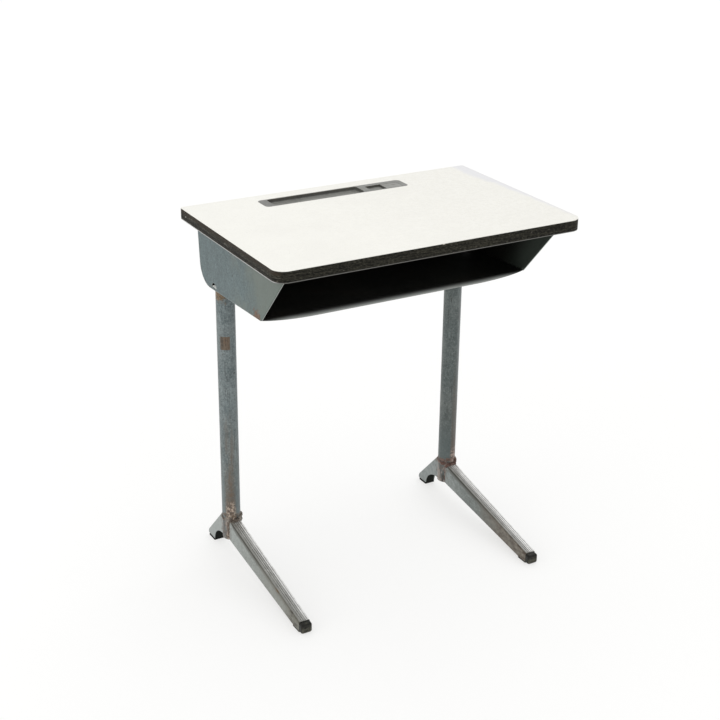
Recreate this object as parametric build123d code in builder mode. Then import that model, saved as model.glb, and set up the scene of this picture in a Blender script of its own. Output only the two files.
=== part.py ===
from build123d import *
import os
from math import atan, cos, degrees, radians, sin, sqrt, tan

# A single pupil's desk: a laminated top with a pen tray let into it, a folded sheet-steel book box
# below, and two tubular columns on splayed sheet-steel feet.
# Millimetres. +Z is up, the pupil sits at -Y, and the origin is on the floor, in the middle of the
# box that the desk fills.

os.makedirs("parts", exist_ok=True)

# ---------------------------------------------------------------- driving dimensions
DESK_HEIGHT = 750.0
TOP_LENGTH = 650.0
TOP_DEPTH = 420.0
FRONT_CORNER = 24.0         # radius of the top's corners at the pupil's side
BACK_CORNER = 4.5
FOOT_OVERHANG = 27.0        # how far the heels reach behind the top's back edge

LAMINATE = 0.9              # the writing surface's sheet
CORE_THICKNESS = 20.2
BACKING = 1.4               # pale sheet under the core, whose edge shows all round
BAND_THICKNESS = 4.0        # dark lipping round the core

TRAY_LENGTH = 322.0
TRAY_WIDTH = 46.0
TRAY_OFFSET = -15.5         # from the desk's middle to the tray's
TRAY_SETBACK = 31.0         # from the top's back edge to the tray
WELL_LENGTH = 35.0
WELL_WIDTH = 30.0
COVER_LENGTH = 38.0

BOX_WIDTH = 584.0
SHEET = 1.2                 # the box's steel sheet
COLUMN_DIAMETER = 38.0
COLUMN_WALL = 1.5
COLUMN_SPACING = 533.0
COLUMN_SETBACK = 70.0       # from the top's back edge to the columns' axes
FOOT_WIDTH = 24.0
FOOT_SHEET = 1.5

# ---------------------------------------------------------------- heights and places that follow
TOP_Y = -FOOT_OVERHANG / 2
FRONT = TOP_Y - TOP_DEPTH / 2
BACK = TOP_Y + TOP_DEPTH / 2
CORE_TOP = DESK_HEIGHT - LAMINATE
CORE_BOTTOM = CORE_TOP - CORE_THICKNESS
UNDERSIDE = CORE_BOTTOM - BACKING
COLUMN_RADIUS = COLUMN_DIAMETER / 2
COLUMN_X = COLUMN_SPACING / 2
COLUMN_Y = BACK - COLUMN_SETBACK
SIDES = {"left": -1, "right": 1}

# ---------------------------------------------------------------- the pen tray
TRAY_Y = BACK - TRAY_SETBACK - TRAY_WIDTH / 2
TRAY_RADIUS = 9.0
TRAY_FLANGE = 2.5           # thickness of the rim that lies in the top
TRAY_LIP = 1.5              # how far the rim stands out past the tray's body
TRAY_BODY_DEPTH = 12.5
TRAY_BODY_LENGTH = TRAY_LENGTH - 2 * TRAY_LIP
TRAY_BODY_WIDTH = TRAY_WIDTH - 2 * TRAY_LIP
TRAY_BODY_RADIUS = TRAY_RADIUS - TRAY_LIP
TRAY_FIT = 0.15             # gap between the tray and its pocket
GROOVE_LENGTH = 201.0
GROOVE_WIDTH = 40.0
GROOVE_DEPTH = 8.5
GROOVE_RADIUS = 6.0
GROOVE_FLOOR_FILLET = 4.0
GROOVE_END_MARGIN = 19.5    # from the tray's left end to the groove
GROOVE_X = TRAY_OFFSET - TRAY_LENGTH / 2 + GROOVE_END_MARGIN + GROOVE_LENGTH / 2

# The well is a shallow square recess, and its cover slides over it in two side grooves.
WELL_DEPTH = 4.5
WELL_MARGIN = 16.0          # the bar between the pen groove and the well
WELL_LEFT = GROOVE_X + GROOVE_LENGTH / 2 + WELL_MARGIN
WELL_SHIFT = 4.5            # the well, in front of the tray's middle line
WELL_Y = TRAY_Y - WELL_SHIFT
COVER_GAP = 0.3
COVER_SINK = 0.2            # the cover's face, below the tray's
COVER_THICKNESS = 2.0
COVER_TRAVEL = WELL_LENGTH
GUIDE_DEPTH = COVER_THICKNESS + COVER_GAP + COVER_SINK
GUIDE_LENGTH = COVER_TRAVEL + COVER_LENGTH + 2 * COVER_GAP
TONGUE = 1.0                # how far the cover's side tongues stand out
TONGUE_HEIGHT = 1.0
TONGUE_SLOT = TONGUE_HEIGHT + 2 * COVER_GAP
COVER_X = WELL_LEFT + WELL_LENGTH + COVER_GAP + COVER_LENGTH / 2
COVER_BOTTOM = DESK_HEIGHT - GUIDE_DEPTH + COVER_GAP
DISH_DIAMETER = 11.0
DISH_DEPTH = 1.1
DISH_OFFSET = 3.3           # the thumb dish, right of the cover's middle

# ---------------------------------------------------------------- the book box
BOX_TOP_SETBACK = 28.0      # from the top's front edge to the mouth's upper edge
BOX_FLOOR_SETBACK = 135.0   # from the top's front edge to the floor's front edge
BOX_FRONT_DROP = 120.0      # from the top's underside to the floor's front edge
BOX_BACK_SETBACK = 2.5
BOX_FLOOR_SLOPE = 0.042     # the floor falls towards the back
BOX_BACK_SLOPE = 0.09       # the back leans in towards the floor
BOX_REAR_RADIUS = 44.0
BOX_FLANGE = 18.0
BOX_HEM = 8.0               # doubled sheet along the mouth's sloping edges
HEM_ROUNDING = 1.0
RELIEF_RADIUS = 1.0         # inside the notch that clears the back's folded edge
FLANGE_GAP = 0.5            # between a side's flange and its neighbours
BOX_SIDE_X = BOX_WIDTH / 2
LIP_DROP = 8.0
LIP_RADIUS = 6.5
LIP_FADE = 115.0            # length over which the lip dies away at each end
FOLD_RADIUS = 2.5           # outside radius of the fold at the back's upper edge
MOON_WIDTH = 23.0           # half-moon opening in each side, beside the column
MOON_HEIGHT = 9.5
MOON_SILL = 3.5             # from the side's lower edge to the opening
MOON_OFFSET = 6.0           # the opening, in front of the column's axis
TAB_HEIGHT = 5.0            # the tab that is bent in from the opening's sill
TAB_ANGLE = 35.0
TAB_GAP = 0.5
TAB_ROOT = 0.5              # how far the tab reaches down into the side's sheet

SCREW_RADIUS = 2.0
SCREW_HEAD_RADIUS = 4.0
SCREW_HEAD_HEIGHT = 2.2
SCREW_HEAD_ROUNDING = 0.9
SCREW_LENGTH = 15.0
SCREW_CLEARANCE = 0.2
PILOT_CLEARANCE = 0.02
CROSS_LENGTH = 4.2
CROSS_WIDTH = 0.9
CROSS_DEPTH = 1.2
SIDE_SCREW_SETBACKS = (80.0, 190.0, 285.0)
BACK_SCREW_XS = (-190.0, 0.0, 190.0)

# ---------------------------------------------------------------- the columns and feet
PLATE_THICKNESS = 3.0
PLATE_LENGTH = 76.0
PLATE_WIDTH = 70.0
PLATE_CORNER = 6.0
PLATE_GAP = 0.5             # between the plate and the box's side
PLATE_HOLE_INSET = 8.0
COLUMN_BOTTOM = 42.0
WELD_FIT = 0.05             # gap where a sheet meets the column

PAD_THICKNESS = 3.0         # rubber under the webs
RUBBER_FIT = 0.2
WEB_BOTTOM = PAD_THICKNESS + RUBBER_FIT
FOOT_BEND_RADIUS = 3.0
TOE_Y = FRONT + 20.0        # the front arm's end
ARM_TOE_TOP = 22.0          # height of the arm's upper face at the toe
ARM_TOP_SLOPE = 0.2065
ARM_BOTTOM_SLOPE = 0.1334
ARM_TOE_FLAT = 25.0         # length of the arm that lies on the toe cap
TOE_NOSE = 12.0             # how far the toe cap's nose stands out
TOE_NOSE_TOP = 20.5
TOE_ROUNDING = 5.0
TOE_PLUG_LENGTH = 22.0
TOE_GAP = 0.3
RUBBER_OVERLAP = 0.3        # how far the rubber's blocks run into one another

HEEL_Y = BACK + FOOT_OVERHANG
HEEL_TOP = 93.0             # height of the rear arm's upper face where it leaves the column
HEEL_ANGLE = 46.0
HEEL_RADIUS = 12.0
HEEL_SOLE_RADIUS = 4.0
ARCH_HEIGHT = 37.0
ARCH_LENGTH = 46.0
REAR_PAD_LENGTH = 27.0
PAD_ROUNDING = 1.0

TREAD_WIDTH = 20.0
TREAD_THICKNESS = 2.0
TREAD_FLUTES = 4
FLUTE_PITCH = 4.2
FLUTE_RADIUS = 0.85
TREAD_GAP = 0.5             # between the tread and the weld
WELD_RING_RADIUS = 20.5
WELD_BEAD_RADIUS = 3.0
WELD_FRONT_HEIGHT = 88.0
WELD_BACK_HEIGHT = 95.0

NEARBY = 0.3                # how near an edge lies to the place that it is picked by
BAND_CORNER = 0.5           # the least radius inside the lipping's corners


def save(piece, name):
    """Labels a finished piece and writes its STEP file."""
    piece.part.label = name
    export_step(piece.part, f"parts/{name}.step")


# ================================================================ where the screws go
PLATE_X = BOX_SIDE_X - SHEET - PLATE_GAP - PLATE_LENGTH / 2
SIDE_SCREW_X = BOX_SIDE_X - (SHEET + BOX_FLANGE) / 2
BACK_SCREW_Y = BACK - BOX_BACK_SETBACK - (SHEET + BOX_FLANGE) / 2
HOLE_X = PLATE_LENGTH / 2 - PLATE_HOLE_INSET
HOLE_Y = PLATE_WIDTH / 2 - PLATE_HOLE_INSET

flange_screws = [(x, BACK_SCREW_Y) for x in BACK_SCREW_XS]
plate_screws = []
for side in SIDES.values():
    flange_screws += [(side * SIDE_SCREW_X, FRONT + setback) for setback in SIDE_SCREW_SETBACKS]
    plate_screws += [
        (side * PLATE_X + x, COLUMN_Y + y) for x in (-HOLE_X, HOLE_X) for y in (-HOLE_Y, HOLE_Y)
    ]


# ================================================================ the top
def top_outline(inset):
    """The top's outline in plan, drawn in by inset."""
    with BuildSketch() as outline:
        with Locations((0, TOP_Y)):
            Rectangle(TOP_LENGTH - 2 * inset, TOP_DEPTH - 2 * inset)
        fillet(outline.vertices().group_by(Axis.Y)[0], radius=FRONT_CORNER - inset)
        fillet(outline.vertices().group_by(Axis.Y)[-1], radius=max(BACK_CORNER - inset, BAND_CORNER))
    return outline.sketch_local


top_edge = top_outline(0)
core_edge = top_outline(BAND_THICKNESS)

with BuildPart() as top_core:
    with BuildSketch(Plane.XY.offset(CORE_BOTTOM)):
        add(core_edge)
    extrude(amount=CORE_THICKNESS)
    with BuildSketch(Plane.XY.offset(DESK_HEIGHT - TRAY_BODY_DEPTH - TRAY_FIT)):
        with Locations((TRAY_OFFSET, TRAY_Y)):
            RectangleRounded(
                TRAY_BODY_LENGTH + 2 * TRAY_FIT, TRAY_BODY_WIDTH + 2 * TRAY_FIT, TRAY_BODY_RADIUS
            )
    extrude(amount=TRAY_BODY_DEPTH, mode=Mode.SUBTRACT)
    with BuildSketch(Plane.XY.offset(DESK_HEIGHT - TRAY_FLANGE)):
        with Locations((TRAY_OFFSET, TRAY_Y)):
            RectangleRounded(TRAY_LENGTH + 2 * TRAY_FIT, TRAY_WIDTH + 2 * TRAY_FIT, TRAY_RADIUS)
    extrude(amount=TRAY_FLANGE, mode=Mode.SUBTRACT)
    with BuildSketch(Plane.XY.offset(CORE_BOTTOM)):
        with Locations(*flange_screws, *plate_screws):
            Circle(SCREW_RADIUS + PILOT_CLEARANCE)
    extrude(amount=SCREW_LENGTH, mode=Mode.SUBTRACT)
save(top_core, "top_core")

with BuildPart() as top_laminate:
    with BuildSketch(Plane.XY.offset(CORE_TOP)):
        add(top_edge)
        with Locations((TRAY_OFFSET, TRAY_Y)):
            RectangleRounded(
                TRAY_LENGTH + 2 * TRAY_FIT, TRAY_WIDTH + 2 * TRAY_FIT, TRAY_RADIUS, mode=Mode.SUBTRACT
            )
    extrude(amount=LAMINATE)
save(top_laminate, "top_laminate")

with BuildPart() as backing_laminate:
    with BuildSketch(Plane.XY.offset(UNDERSIDE)):
        add(top_edge)
        with Locations(*flange_screws, *plate_screws):
            Circle(SCREW_RADIUS + SCREW_CLEARANCE, mode=Mode.SUBTRACT)
    extrude(amount=BACKING)
save(backing_laminate, "backing_laminate")

with BuildPart() as edge_band:
    with BuildSketch(Plane.XY.offset(CORE_BOTTOM)):
        add(top_edge)
        add(core_edge, mode=Mode.SUBTRACT)
    extrude(amount=CORE_THICKNESS)
save(edge_band, "edge_band")

# ================================================================ the pen tray and its sliding cover
with BuildPart() as pen_tray:
    with BuildSketch(Plane.XY.offset(DESK_HEIGHT - TRAY_BODY_DEPTH)):
        with Locations((TRAY_OFFSET, TRAY_Y)):
            RectangleRounded(TRAY_BODY_LENGTH, TRAY_BODY_WIDTH, TRAY_BODY_RADIUS)
    extrude(amount=TRAY_BODY_DEPTH)
    with BuildSketch(Plane.XY.offset(DESK_HEIGHT - TRAY_FLANGE)):
        with Locations((TRAY_OFFSET, TRAY_Y)):
            RectangleRounded(TRAY_LENGTH, TRAY_WIDTH, TRAY_RADIUS)
    extrude(amount=TRAY_FLANGE)
    with BuildSketch(Plane.XY.offset(DESK_HEIGHT)):
        with Locations((GROOVE_X, TRAY_Y)):
            RectangleRounded(GROOVE_LENGTH, GROOVE_WIDTH, GROOVE_RADIUS)
    extrude(amount=-GROOVE_DEPTH, mode=Mode.SUBTRACT)
    groove_floor = DESK_HEIGHT - GROOVE_DEPTH
    fillet(
        pen_tray.edges().filter_by_position(Axis.Z, groove_floor - NEARBY, groove_floor + NEARBY),
        radius=GROOVE_FLOOR_FILLET,
    )
    with BuildSketch(Plane.XY.offset(DESK_HEIGHT)):
        with Locations((WELL_LEFT + WELL_LENGTH / 2, WELL_Y)):
            Rectangle(WELL_LENGTH, WELL_WIDTH)
    extrude(amount=-WELL_DEPTH, mode=Mode.SUBTRACT)
    with BuildSketch(Plane.XY.offset(DESK_HEIGHT)):
        with Locations((WELL_LEFT + GUIDE_LENGTH / 2, WELL_Y)):
            Rectangle(GUIDE_LENGTH, WELL_WIDTH)
    extrude(amount=-GUIDE_DEPTH, mode=Mode.SUBTRACT)
    with BuildSketch(Plane.XY.offset(DESK_HEIGHT - GUIDE_DEPTH)):
        with Locations((WELL_LEFT + GUIDE_LENGTH / 2, WELL_Y)):
            Rectangle(GUIDE_LENGTH, WELL_WIDTH + 2 * TONGUE)
    extrude(amount=TONGUE_SLOT, mode=Mode.SUBTRACT)
save(pen_tray, "pen_tray")

with BuildPart() as inkwell_cover:
    with BuildSketch(Plane.XY.offset(COVER_BOTTOM)):
        with Locations((COVER_X, WELL_Y)):
            Rectangle(COVER_LENGTH, WELL_WIDTH - 2 * COVER_GAP)
    extrude(amount=COVER_THICKNESS)
    with BuildSketch(Plane.XY.offset(COVER_BOTTOM)):
        with Locations((COVER_X, WELL_Y)):
            Rectangle(COVER_LENGTH, WELL_WIDTH + 2 * TONGUE - 2 * COVER_GAP)
    extrude(amount=TONGUE_HEIGHT)
    dish_sphere = (DISH_DIAMETER**2 / 4 + DISH_DEPTH**2) / (2 * DISH_DEPTH)
    dish_centre = COVER_BOTTOM + COVER_THICKNESS - DISH_DEPTH + dish_sphere
    with Locations((COVER_X + DISH_OFFSET, WELL_Y, dish_centre)):
        Sphere(dish_sphere, mode=Mode.SUBTRACT)
save(inkwell_cover, "inkwell_cover")


# ================================================================ the book box
def meet(point, slope, other_point, other_run):
    """Where the line that climbs by slope through point crosses the line that leans by other_run
    through other_point, both as (y, z)."""
    climb = slope * (other_point[0] - other_run * other_point[1] - point[0])
    z = (point[1] + climb) / (1 - slope * other_run)
    return other_point[0] + other_run * (z - other_point[1]), z


def box_corners(inset):
    """The box's side outline as (y, z): mouth top, floor front, floor back and back top.
    The floor and the back are drawn in by inset."""
    upper = (FRONT + BOX_TOP_SETBACK, UNDERSIDE)
    lower = (FRONT + BOX_FLOOR_SETBACK, UNDERSIDE - BOX_FRONT_DROP)
    mouth_run = (upper[0] - lower[0]) / (upper[1] - lower[1])
    lifted = (lower[0], lower[1] + inset * sqrt(1 + BOX_FLOOR_SLOPE**2))
    back = (BACK - BOX_BACK_SETBACK - inset * sqrt(1 + BOX_BACK_SLOPE**2), UNDERSIDE)
    return (
        upper,
        meet(lifted, -BOX_FLOOR_SLOPE, lower, mouth_run),
        meet(lifted, -BOX_FLOOR_SLOPE, back, BOX_BACK_SLOPE),
        back,
    )


mouth_top, floor_front, floor_back, back_top = box_corners(0)

with BuildPart() as box_wrap:
    with BuildSketch(Plane.YZ):
        with BuildLine():
            sheet_line = FilletPolyline(
                (floor_front[0], floor_front[1] - LIP_DROP),
                floor_front,
                floor_back,
                back_top,
                (back_top[0] - BOX_FLANGE, back_top[1]),
                radius=[LIP_RADIUS, BOX_REAR_RADIUS, FOLD_RADIUS],
            )
            offset(sheet_line, amount=SHEET, side=Side.LEFT)
        make_face()
    extrude(amount=BOX_SIDE_X, both=True)
    # The lip dies away towards both ends in a long shallow arc.
    lip_bottom = floor_front[1] - LIP_DROP
    with BuildSketch(Plane.XZ.offset(-floor_front[0] - LIP_RADIUS)):
        with BuildLine():
            TangentArc((BOX_SIDE_X - LIP_FADE, lip_bottom), (BOX_SIDE_X, floor_front[1]), tangent=(1, 0))
            Polyline(
                (BOX_SIDE_X, floor_front[1]),
                (BOX_SIDE_X, lip_bottom - LIP_DROP),
                (BOX_SIDE_X - LIP_FADE, lip_bottom - LIP_DROP),
                (BOX_SIDE_X - LIP_FADE, lip_bottom),
            )
        make_face()
        mirror(about=Plane.YZ)
    extrude(amount=2 * LIP_RADIUS, mode=Mode.SUBTRACT)
    with BuildSketch(Plane.XY.offset(COLUMN_BOTTOM)):
        with Locations((-COLUMN_X, COLUMN_Y), (COLUMN_X, COLUMN_Y)):
            Circle(COLUMN_RADIUS + WELD_FIT)
    extrude(amount=UNDERSIDE - COLUMN_BOTTOM - BOX_FLANGE, mode=Mode.SUBTRACT)
    with BuildSketch(Plane.XY.offset(UNDERSIDE - 2 * SHEET)):
        with Locations(*flange_screws):
            Circle(SCREW_RADIUS + SCREW_CLEARANCE)
    extrude(amount=2 * SHEET, mode=Mode.SUBTRACT)
save(box_wrap, "box_wrap")

side_corners = box_corners(SHEET)
side_floor_front = side_corners[1]
corner_relief = UNDERSIDE - SHEET - FOLD_RADIUS   # the side stops short of the back's folded edge
relief_front = back_top[0] - BOX_FLANGE - FLANGE_GAP
moon_y = COLUMN_Y - MOON_OFFSET
moon_z = side_floor_front[1] - BOX_FLOOR_SLOPE * (moon_y - side_floor_front[0]) + MOON_SILL
mouth_angle = atan((mouth_top[1] - floor_front[1]) / (floor_front[0] - mouth_top[0]))
hem_run = BOX_HEM / sin(mouth_angle)
flange_length = COLUMN_Y - PLATE_WIDTH / 2 - FLANGE_GAP - mouth_top[0]


def half_moon(width, height, root):
    """The upper half of an ellipse, carried down past its middle by root."""
    with BuildSketch() as shape:
        Ellipse(width / 2, height)
        Rectangle(width, height + root, align=(Align.CENTER, Align.MIN), mode=Mode.INTERSECT)
        with Locations((0, -root)):
            Rectangle(width, root, align=(Align.CENTER, Align.MIN))
    return shape.sketch_local


moon_opening = half_moon(MOON_WIDTH, MOON_HEIGHT, 0.0)
moon_tab = half_moon(MOON_WIDTH - 2 * TAB_GAP, TAB_HEIGHT, TAB_ROOT)

with BuildSketch() as side_outline:
    with BuildLine():
        FilletPolyline(
            side_corners[1],
            side_corners[2],
            (side_corners[3][0] - BOX_BACK_SLOPE * (UNDERSIDE - corner_relief), corner_relief),
            (relief_front, corner_relief),
            radius=[BOX_REAR_RADIUS - SHEET, RELIEF_RADIUS],
        )
        Polyline(
            (relief_front, corner_relief),
            (relief_front, UNDERSIDE),
            side_corners[0],
            side_corners[1],
        )
    make_face()
    with Locations((moon_y, moon_z)):
        add(moon_opening, mode=Mode.SUBTRACT)

with BuildSketch() as hem_outline:
    with BuildLine():
        Polyline(
            mouth_top,
            side_floor_front,
            (side_floor_front[0] + hem_run, side_floor_front[1]),
            (mouth_top[0] + hem_run, mouth_top[1]),
            close=True,
        )
    make_face()


def box_side(side):
    """One side of the book box, with its screwed flange, hemmed front edge and half-moon tab."""
    outer = side * BOX_SIDE_X
    tab_plane = Plane(
        origin=(outer - side * SHEET / 2, moon_y, moon_z),
        x_dir=(0, 1, 0),
        z_dir=(cos(radians(TAB_ANGLE)), 0, side * sin(radians(TAB_ANGLE))),
    )
    with BuildPart() as panel:
        with BuildSketch(Plane.YZ.offset(outer)):
            add(side_outline.sketch_local)
        extrude(amount=-side * SHEET)
        with BuildSketch(Plane.YZ.offset(outer)):
            add(hem_outline.sketch_local)
        extrude(amount=-side * 2 * SHEET)
        hem_middle = (mouth_top[1] + side_floor_front[1]) / 2
        mouth_middle = (mouth_top[0] + side_floor_front[0]) / 2
        hem_edges = panel.edges().filter_by_position(Axis.Z, hem_middle - SHEET, hem_middle + SHEET)
        hem_edges = hem_edges.filter_by_position(Axis.Y, mouth_middle - SHEET, mouth_middle + SHEET)
        fillet(hem_edges, radius=HEM_ROUNDING)
        with BuildSketch(Plane.XY.offset(UNDERSIDE)):
            with Locations((outer - side * BOX_FLANGE / 2, mouth_top[0] + HEM_ROUNDING)):
                Rectangle(BOX_FLANGE, flange_length - HEM_ROUNDING, align=(Align.CENTER, Align.MIN))
            with Locations(*flange_screws):
                Circle(SCREW_RADIUS + SCREW_CLEARANCE, mode=Mode.SUBTRACT)
        extrude(amount=-SHEET)
        with BuildSketch(tab_plane):
            add(moon_tab)
        extrude(amount=-side * SHEET)
    return panel


save(box_side(SIDES["left"]), "box_side_left")
save(box_side(SIDES["right"]), "box_side_right")


def screws(places, seat):
    """Cross-headed screws driven upwards, whose heads bear on a sheet at the height seat."""
    with BuildPart() as group:
        with BuildSketch(Plane.XY.offset(seat)):
            with Locations(*places):
                Circle(SCREW_HEAD_RADIUS)
        extrude(amount=-SCREW_HEAD_HEIGHT)
        fillet(group.edges().group_by(Axis.Z)[0], radius=SCREW_HEAD_ROUNDING)
        with BuildSketch(Plane.XY.offset(seat)):
            with Locations(*places):
                Circle(SCREW_RADIUS)
        extrude(amount=SCREW_LENGTH)
        with BuildSketch(Plane.XY.offset(seat - SCREW_HEAD_HEIGHT)):
            with Locations(*places):
                Rectangle(CROSS_LENGTH, CROSS_WIDTH)
                Rectangle(CROSS_WIDTH, CROSS_LENGTH)
        extrude(amount=CROSS_DEPTH, mode=Mode.SUBTRACT)
    return group


save(screws(flange_screws, UNDERSIDE - SHEET), "box_fixing_screws")
save(screws(plate_screws, UNDERSIDE - PLATE_THICKNESS), "column_plate_screws")


# ================================================================ the columns
def column(side):
    """One tube, from its cut lower end up to its head plate."""
    with BuildPart() as tube:
        with BuildSketch(Plane.XY.offset(COLUMN_BOTTOM)):
            with Locations((side * COLUMN_X, COLUMN_Y)):
                Circle(COLUMN_RADIUS)
                Circle(COLUMN_RADIUS - COLUMN_WALL, mode=Mode.SUBTRACT)
        extrude(amount=UNDERSIDE - PLATE_THICKNESS - COLUMN_BOTTOM)
    return tube


def column_plate(side):
    """The head plate that is screwed to the top."""
    with BuildPart() as plate:
        with BuildSketch(Plane.XY.offset(UNDERSIDE)):
            with Locations((side * PLATE_X, COLUMN_Y)):
                RectangleRounded(PLATE_LENGTH, PLATE_WIDTH, PLATE_CORNER)
            with Locations(*plate_screws):
                Circle(SCREW_RADIUS + SCREW_CLEARANCE, mode=Mode.SUBTRACT)
        extrude(amount=-PLATE_THICKNESS)
    return plate


# ================================================================ the feet
def arm_top(y):
    """Height of the front arm's upper face."""
    return ARM_TOE_TOP + ARM_TOP_SLOPE * (y - TOE_Y)


def on_arm_top(point):
    """Whether a point of the front arm lies on its upper face."""
    return point.Z > arm_top(point.Y) - NEARBY


arm_angle = atan(ARM_TOP_SLOPE)
arm_flat_end = TOE_Y + ARM_TOE_FLAT
arm_bottom_at_column = WEB_BOTTOM + ARM_BOTTOM_SLOPE * (COLUMN_Y - arm_flat_end)
sheet_below_top = FOOT_SHEET / cos(arm_angle)

with BuildSketch() as arm_outline:
    with BuildLine():
        Polyline(
            (COLUMN_Y, arm_top(COLUMN_Y)),
            (TOE_Y, ARM_TOE_TOP),
            (TOE_Y, WEB_BOTTOM),
            (arm_flat_end, WEB_BOTTOM),
            (COLUMN_Y, arm_bottom_at_column),
            close=True,
        )
    make_face()

with BuildSketch() as arm_hollow:
    with BuildLine():
        Polyline(
            (COLUMN_Y, arm_top(COLUMN_Y) - sheet_below_top),
            (TOE_Y - FOOT_SHEET, arm_top(TOE_Y - FOOT_SHEET) - sheet_below_top),
            (TOE_Y - FOOT_SHEET, 0),
            (COLUMN_Y, 0),
            close=True,
        )
    make_face()


def heel_outline(inset, bottom):
    """The rear arm's side outline, drawn in by inset and closed at the height bottom."""
    slope = tan(radians(HEEL_ANGLE))
    end = HEEL_Y - inset
    start = HEEL_TOP + slope * COLUMN_RADIUS - inset / cos(radians(HEEL_ANGLE))
    with BuildSketch() as outline:
        with BuildLine():
            FilletPolyline(
                (COLUMN_Y, start),
                (end, start - slope * (end - COLUMN_Y)),
                (end, bottom),
                (COLUMN_Y, bottom),
                radius=[HEEL_RADIUS - inset, HEEL_SOLE_RADIUS],
            )
            Line((COLUMN_Y, bottom), (COLUMN_Y, start))
        make_face()
    return outline.sketch_local


heel_shape = heel_outline(0, WEB_BOTTOM)
open_bottom = WEB_BOTTOM - 2 * HEEL_SOLE_RADIUS   # low enough for the outline's rounding to miss the foot
heel_hollow = heel_outline(FOOT_SHEET, open_bottom)
pad_shape = heel_outline(FOOT_SHEET + RUBBER_FIT, open_bottom)
arch_front = COLUMN_Y + COLUMN_RADIUS
pad_front = arch_front + ARCH_LENGTH


def column_room(side):
    """The room that the column takes up, with the gap round it."""
    with BuildPart() as room:
        with BuildSketch(Plane.XY):
            with Locations((side * COLUMN_X, COLUMN_Y)):
                Circle(COLUMN_RADIUS + WELD_FIT)
        extrude(amount=UNDERSIDE)
    return room.part


def bend_edges(arm):
    """The long upper edges of an arm, where its sheet is bent down into the webs."""
    outer = arm.edges().group_by(Axis.X)
    return [edge for edge in outer[0] + outer[-1] if edge.center().Z > WEB_BOTTOM + HEEL_SOLE_RADIUS]


def front_arm(side):
    """The long arm that runs forward to the toe."""
    middle = Plane.YZ.offset(side * COLUMN_X)
    room = column_room(side)
    with BuildPart() as arm:
        with BuildSketch(middle):
            add(arm_outline.sketch_local)
        extrude(amount=FOOT_WIDTH / 2, both=True)
        top_edges = [edge for edge in bend_edges(arm) if on_arm_top(edge.center())]
        fillet(top_edges, radius=FOOT_BEND_RADIUS)
        with BuildSketch(middle):
            add(arm_hollow.sketch_local)
        extrude(amount=FOOT_WIDTH / 2 - FOOT_SHEET, both=True, mode=Mode.SUBTRACT)
        add(room, mode=Mode.SUBTRACT)
    return arm


def rear_arm(side):
    """The short arm that drops to the heel, arched underneath."""
    middle = Plane.YZ.offset(side * COLUMN_X)
    room = column_room(side)
    with BuildPart() as arm:
        with BuildSketch(middle):
            add(heel_shape)
        extrude(amount=FOOT_WIDTH / 2, both=True)
        top_edges = [edge for edge in bend_edges(arm) if edge.center().Y > COLUMN_Y + NEARBY]
        fillet(top_edges, radius=FOOT_BEND_RADIUS)
        with BuildSketch(middle):
            with Locations((arch_front, WEB_BOTTOM)):
                Ellipse(ARCH_LENGTH, ARCH_HEIGHT)
        extrude(amount=FOOT_WIDTH, both=True, mode=Mode.SUBTRACT)
        with BuildSketch(middle):
            add(heel_hollow)
        extrude(amount=FOOT_WIDTH / 2 - FOOT_SHEET, both=True, mode=Mode.SUBTRACT)
        add(room, mode=Mode.SUBTRACT)
    return arm


def tread_strip(side):
    """The ribbed strip on the front arm."""
    up_the_arm = Plane(
        origin=(side * COLUMN_X, TOE_Y, ARM_TOE_TOP),
        x_dir=(-1, 0, 0),
        z_dir=(0, cos(arm_angle), sin(arm_angle)),
    )
    with BuildPart() as strip:
        with BuildSketch(up_the_arm):
            Rectangle(TREAD_WIDTH, TREAD_THICKNESS, align=(Align.CENTER, Align.MIN))
            with Locations((0, TREAD_THICKNESS)):
                with GridLocations(FLUTE_PITCH, 0, TREAD_FLUTES, 1):
                    Circle(FLUTE_RADIUS, mode=Mode.SUBTRACT)
        extrude(amount=(COLUMN_Y - TOE_Y) / cos(arm_angle))
        with BuildSketch(Plane.XY):
            with Locations((side * COLUMN_X, COLUMN_Y)):
                Circle(WELD_RING_RADIUS + WELD_BEAD_RADIUS + TREAD_GAP)
        extrude(amount=UNDERSIDE, mode=Mode.SUBTRACT)
    return strip


def on_nose(edge):
    """Whether an edge of the toe cap lies in front of the arm's end."""
    return edge.center().Y < TOE_Y - TOE_GAP - NEARBY


def toe_cap(side):
    """The rubber toe: a domed nose, a sole under the webs and a plug inside them."""
    middle = Plane.YZ.offset(side * COLUMN_X)
    nose_back = TOE_Y - TOE_GAP
    plug_end = TOE_Y + TOE_PLUG_LENGTH
    plug_drop = sheet_below_top + RUBBER_FIT
    with BuildPart() as cap:
        with BuildSketch(middle):
            with BuildLine():
                Polyline(
                    (nose_back, ARM_TOE_TOP - RUBBER_FIT),
                    (TOE_Y - TOE_NOSE, TOE_NOSE_TOP),
                    (TOE_Y - TOE_NOSE, 0),
                    (nose_back, 0),
                    close=True,
                )
            make_face()
        extrude(amount=FOOT_WIDTH / 2, both=True)
        fillet([edge for edge in cap.edges() if on_nose(edge)], radius=TOE_ROUNDING)
        with BuildSketch(middle):
            with Locations((nose_back, 0)):
                Rectangle(arm_flat_end - nose_back, PAD_THICKNESS, align=Align.MIN)
        extrude(amount=FOOT_WIDTH / 2, both=True)
        with BuildSketch(middle):
            with BuildLine():
                Polyline(
                    (nose_back - RUBBER_OVERLAP, PAD_THICKNESS - RUBBER_OVERLAP),
                    (plug_end, PAD_THICKNESS - RUBBER_OVERLAP),
                    (plug_end, arm_top(plug_end) - plug_drop),
                    (nose_back - RUBBER_OVERLAP, arm_top(nose_back - RUBBER_OVERLAP) - plug_drop),
                    close=True,
                )
            make_face()
        extrude(amount=FOOT_WIDTH / 2 - FOOT_SHEET - RUBBER_FIT, both=True)
    return cap


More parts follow.
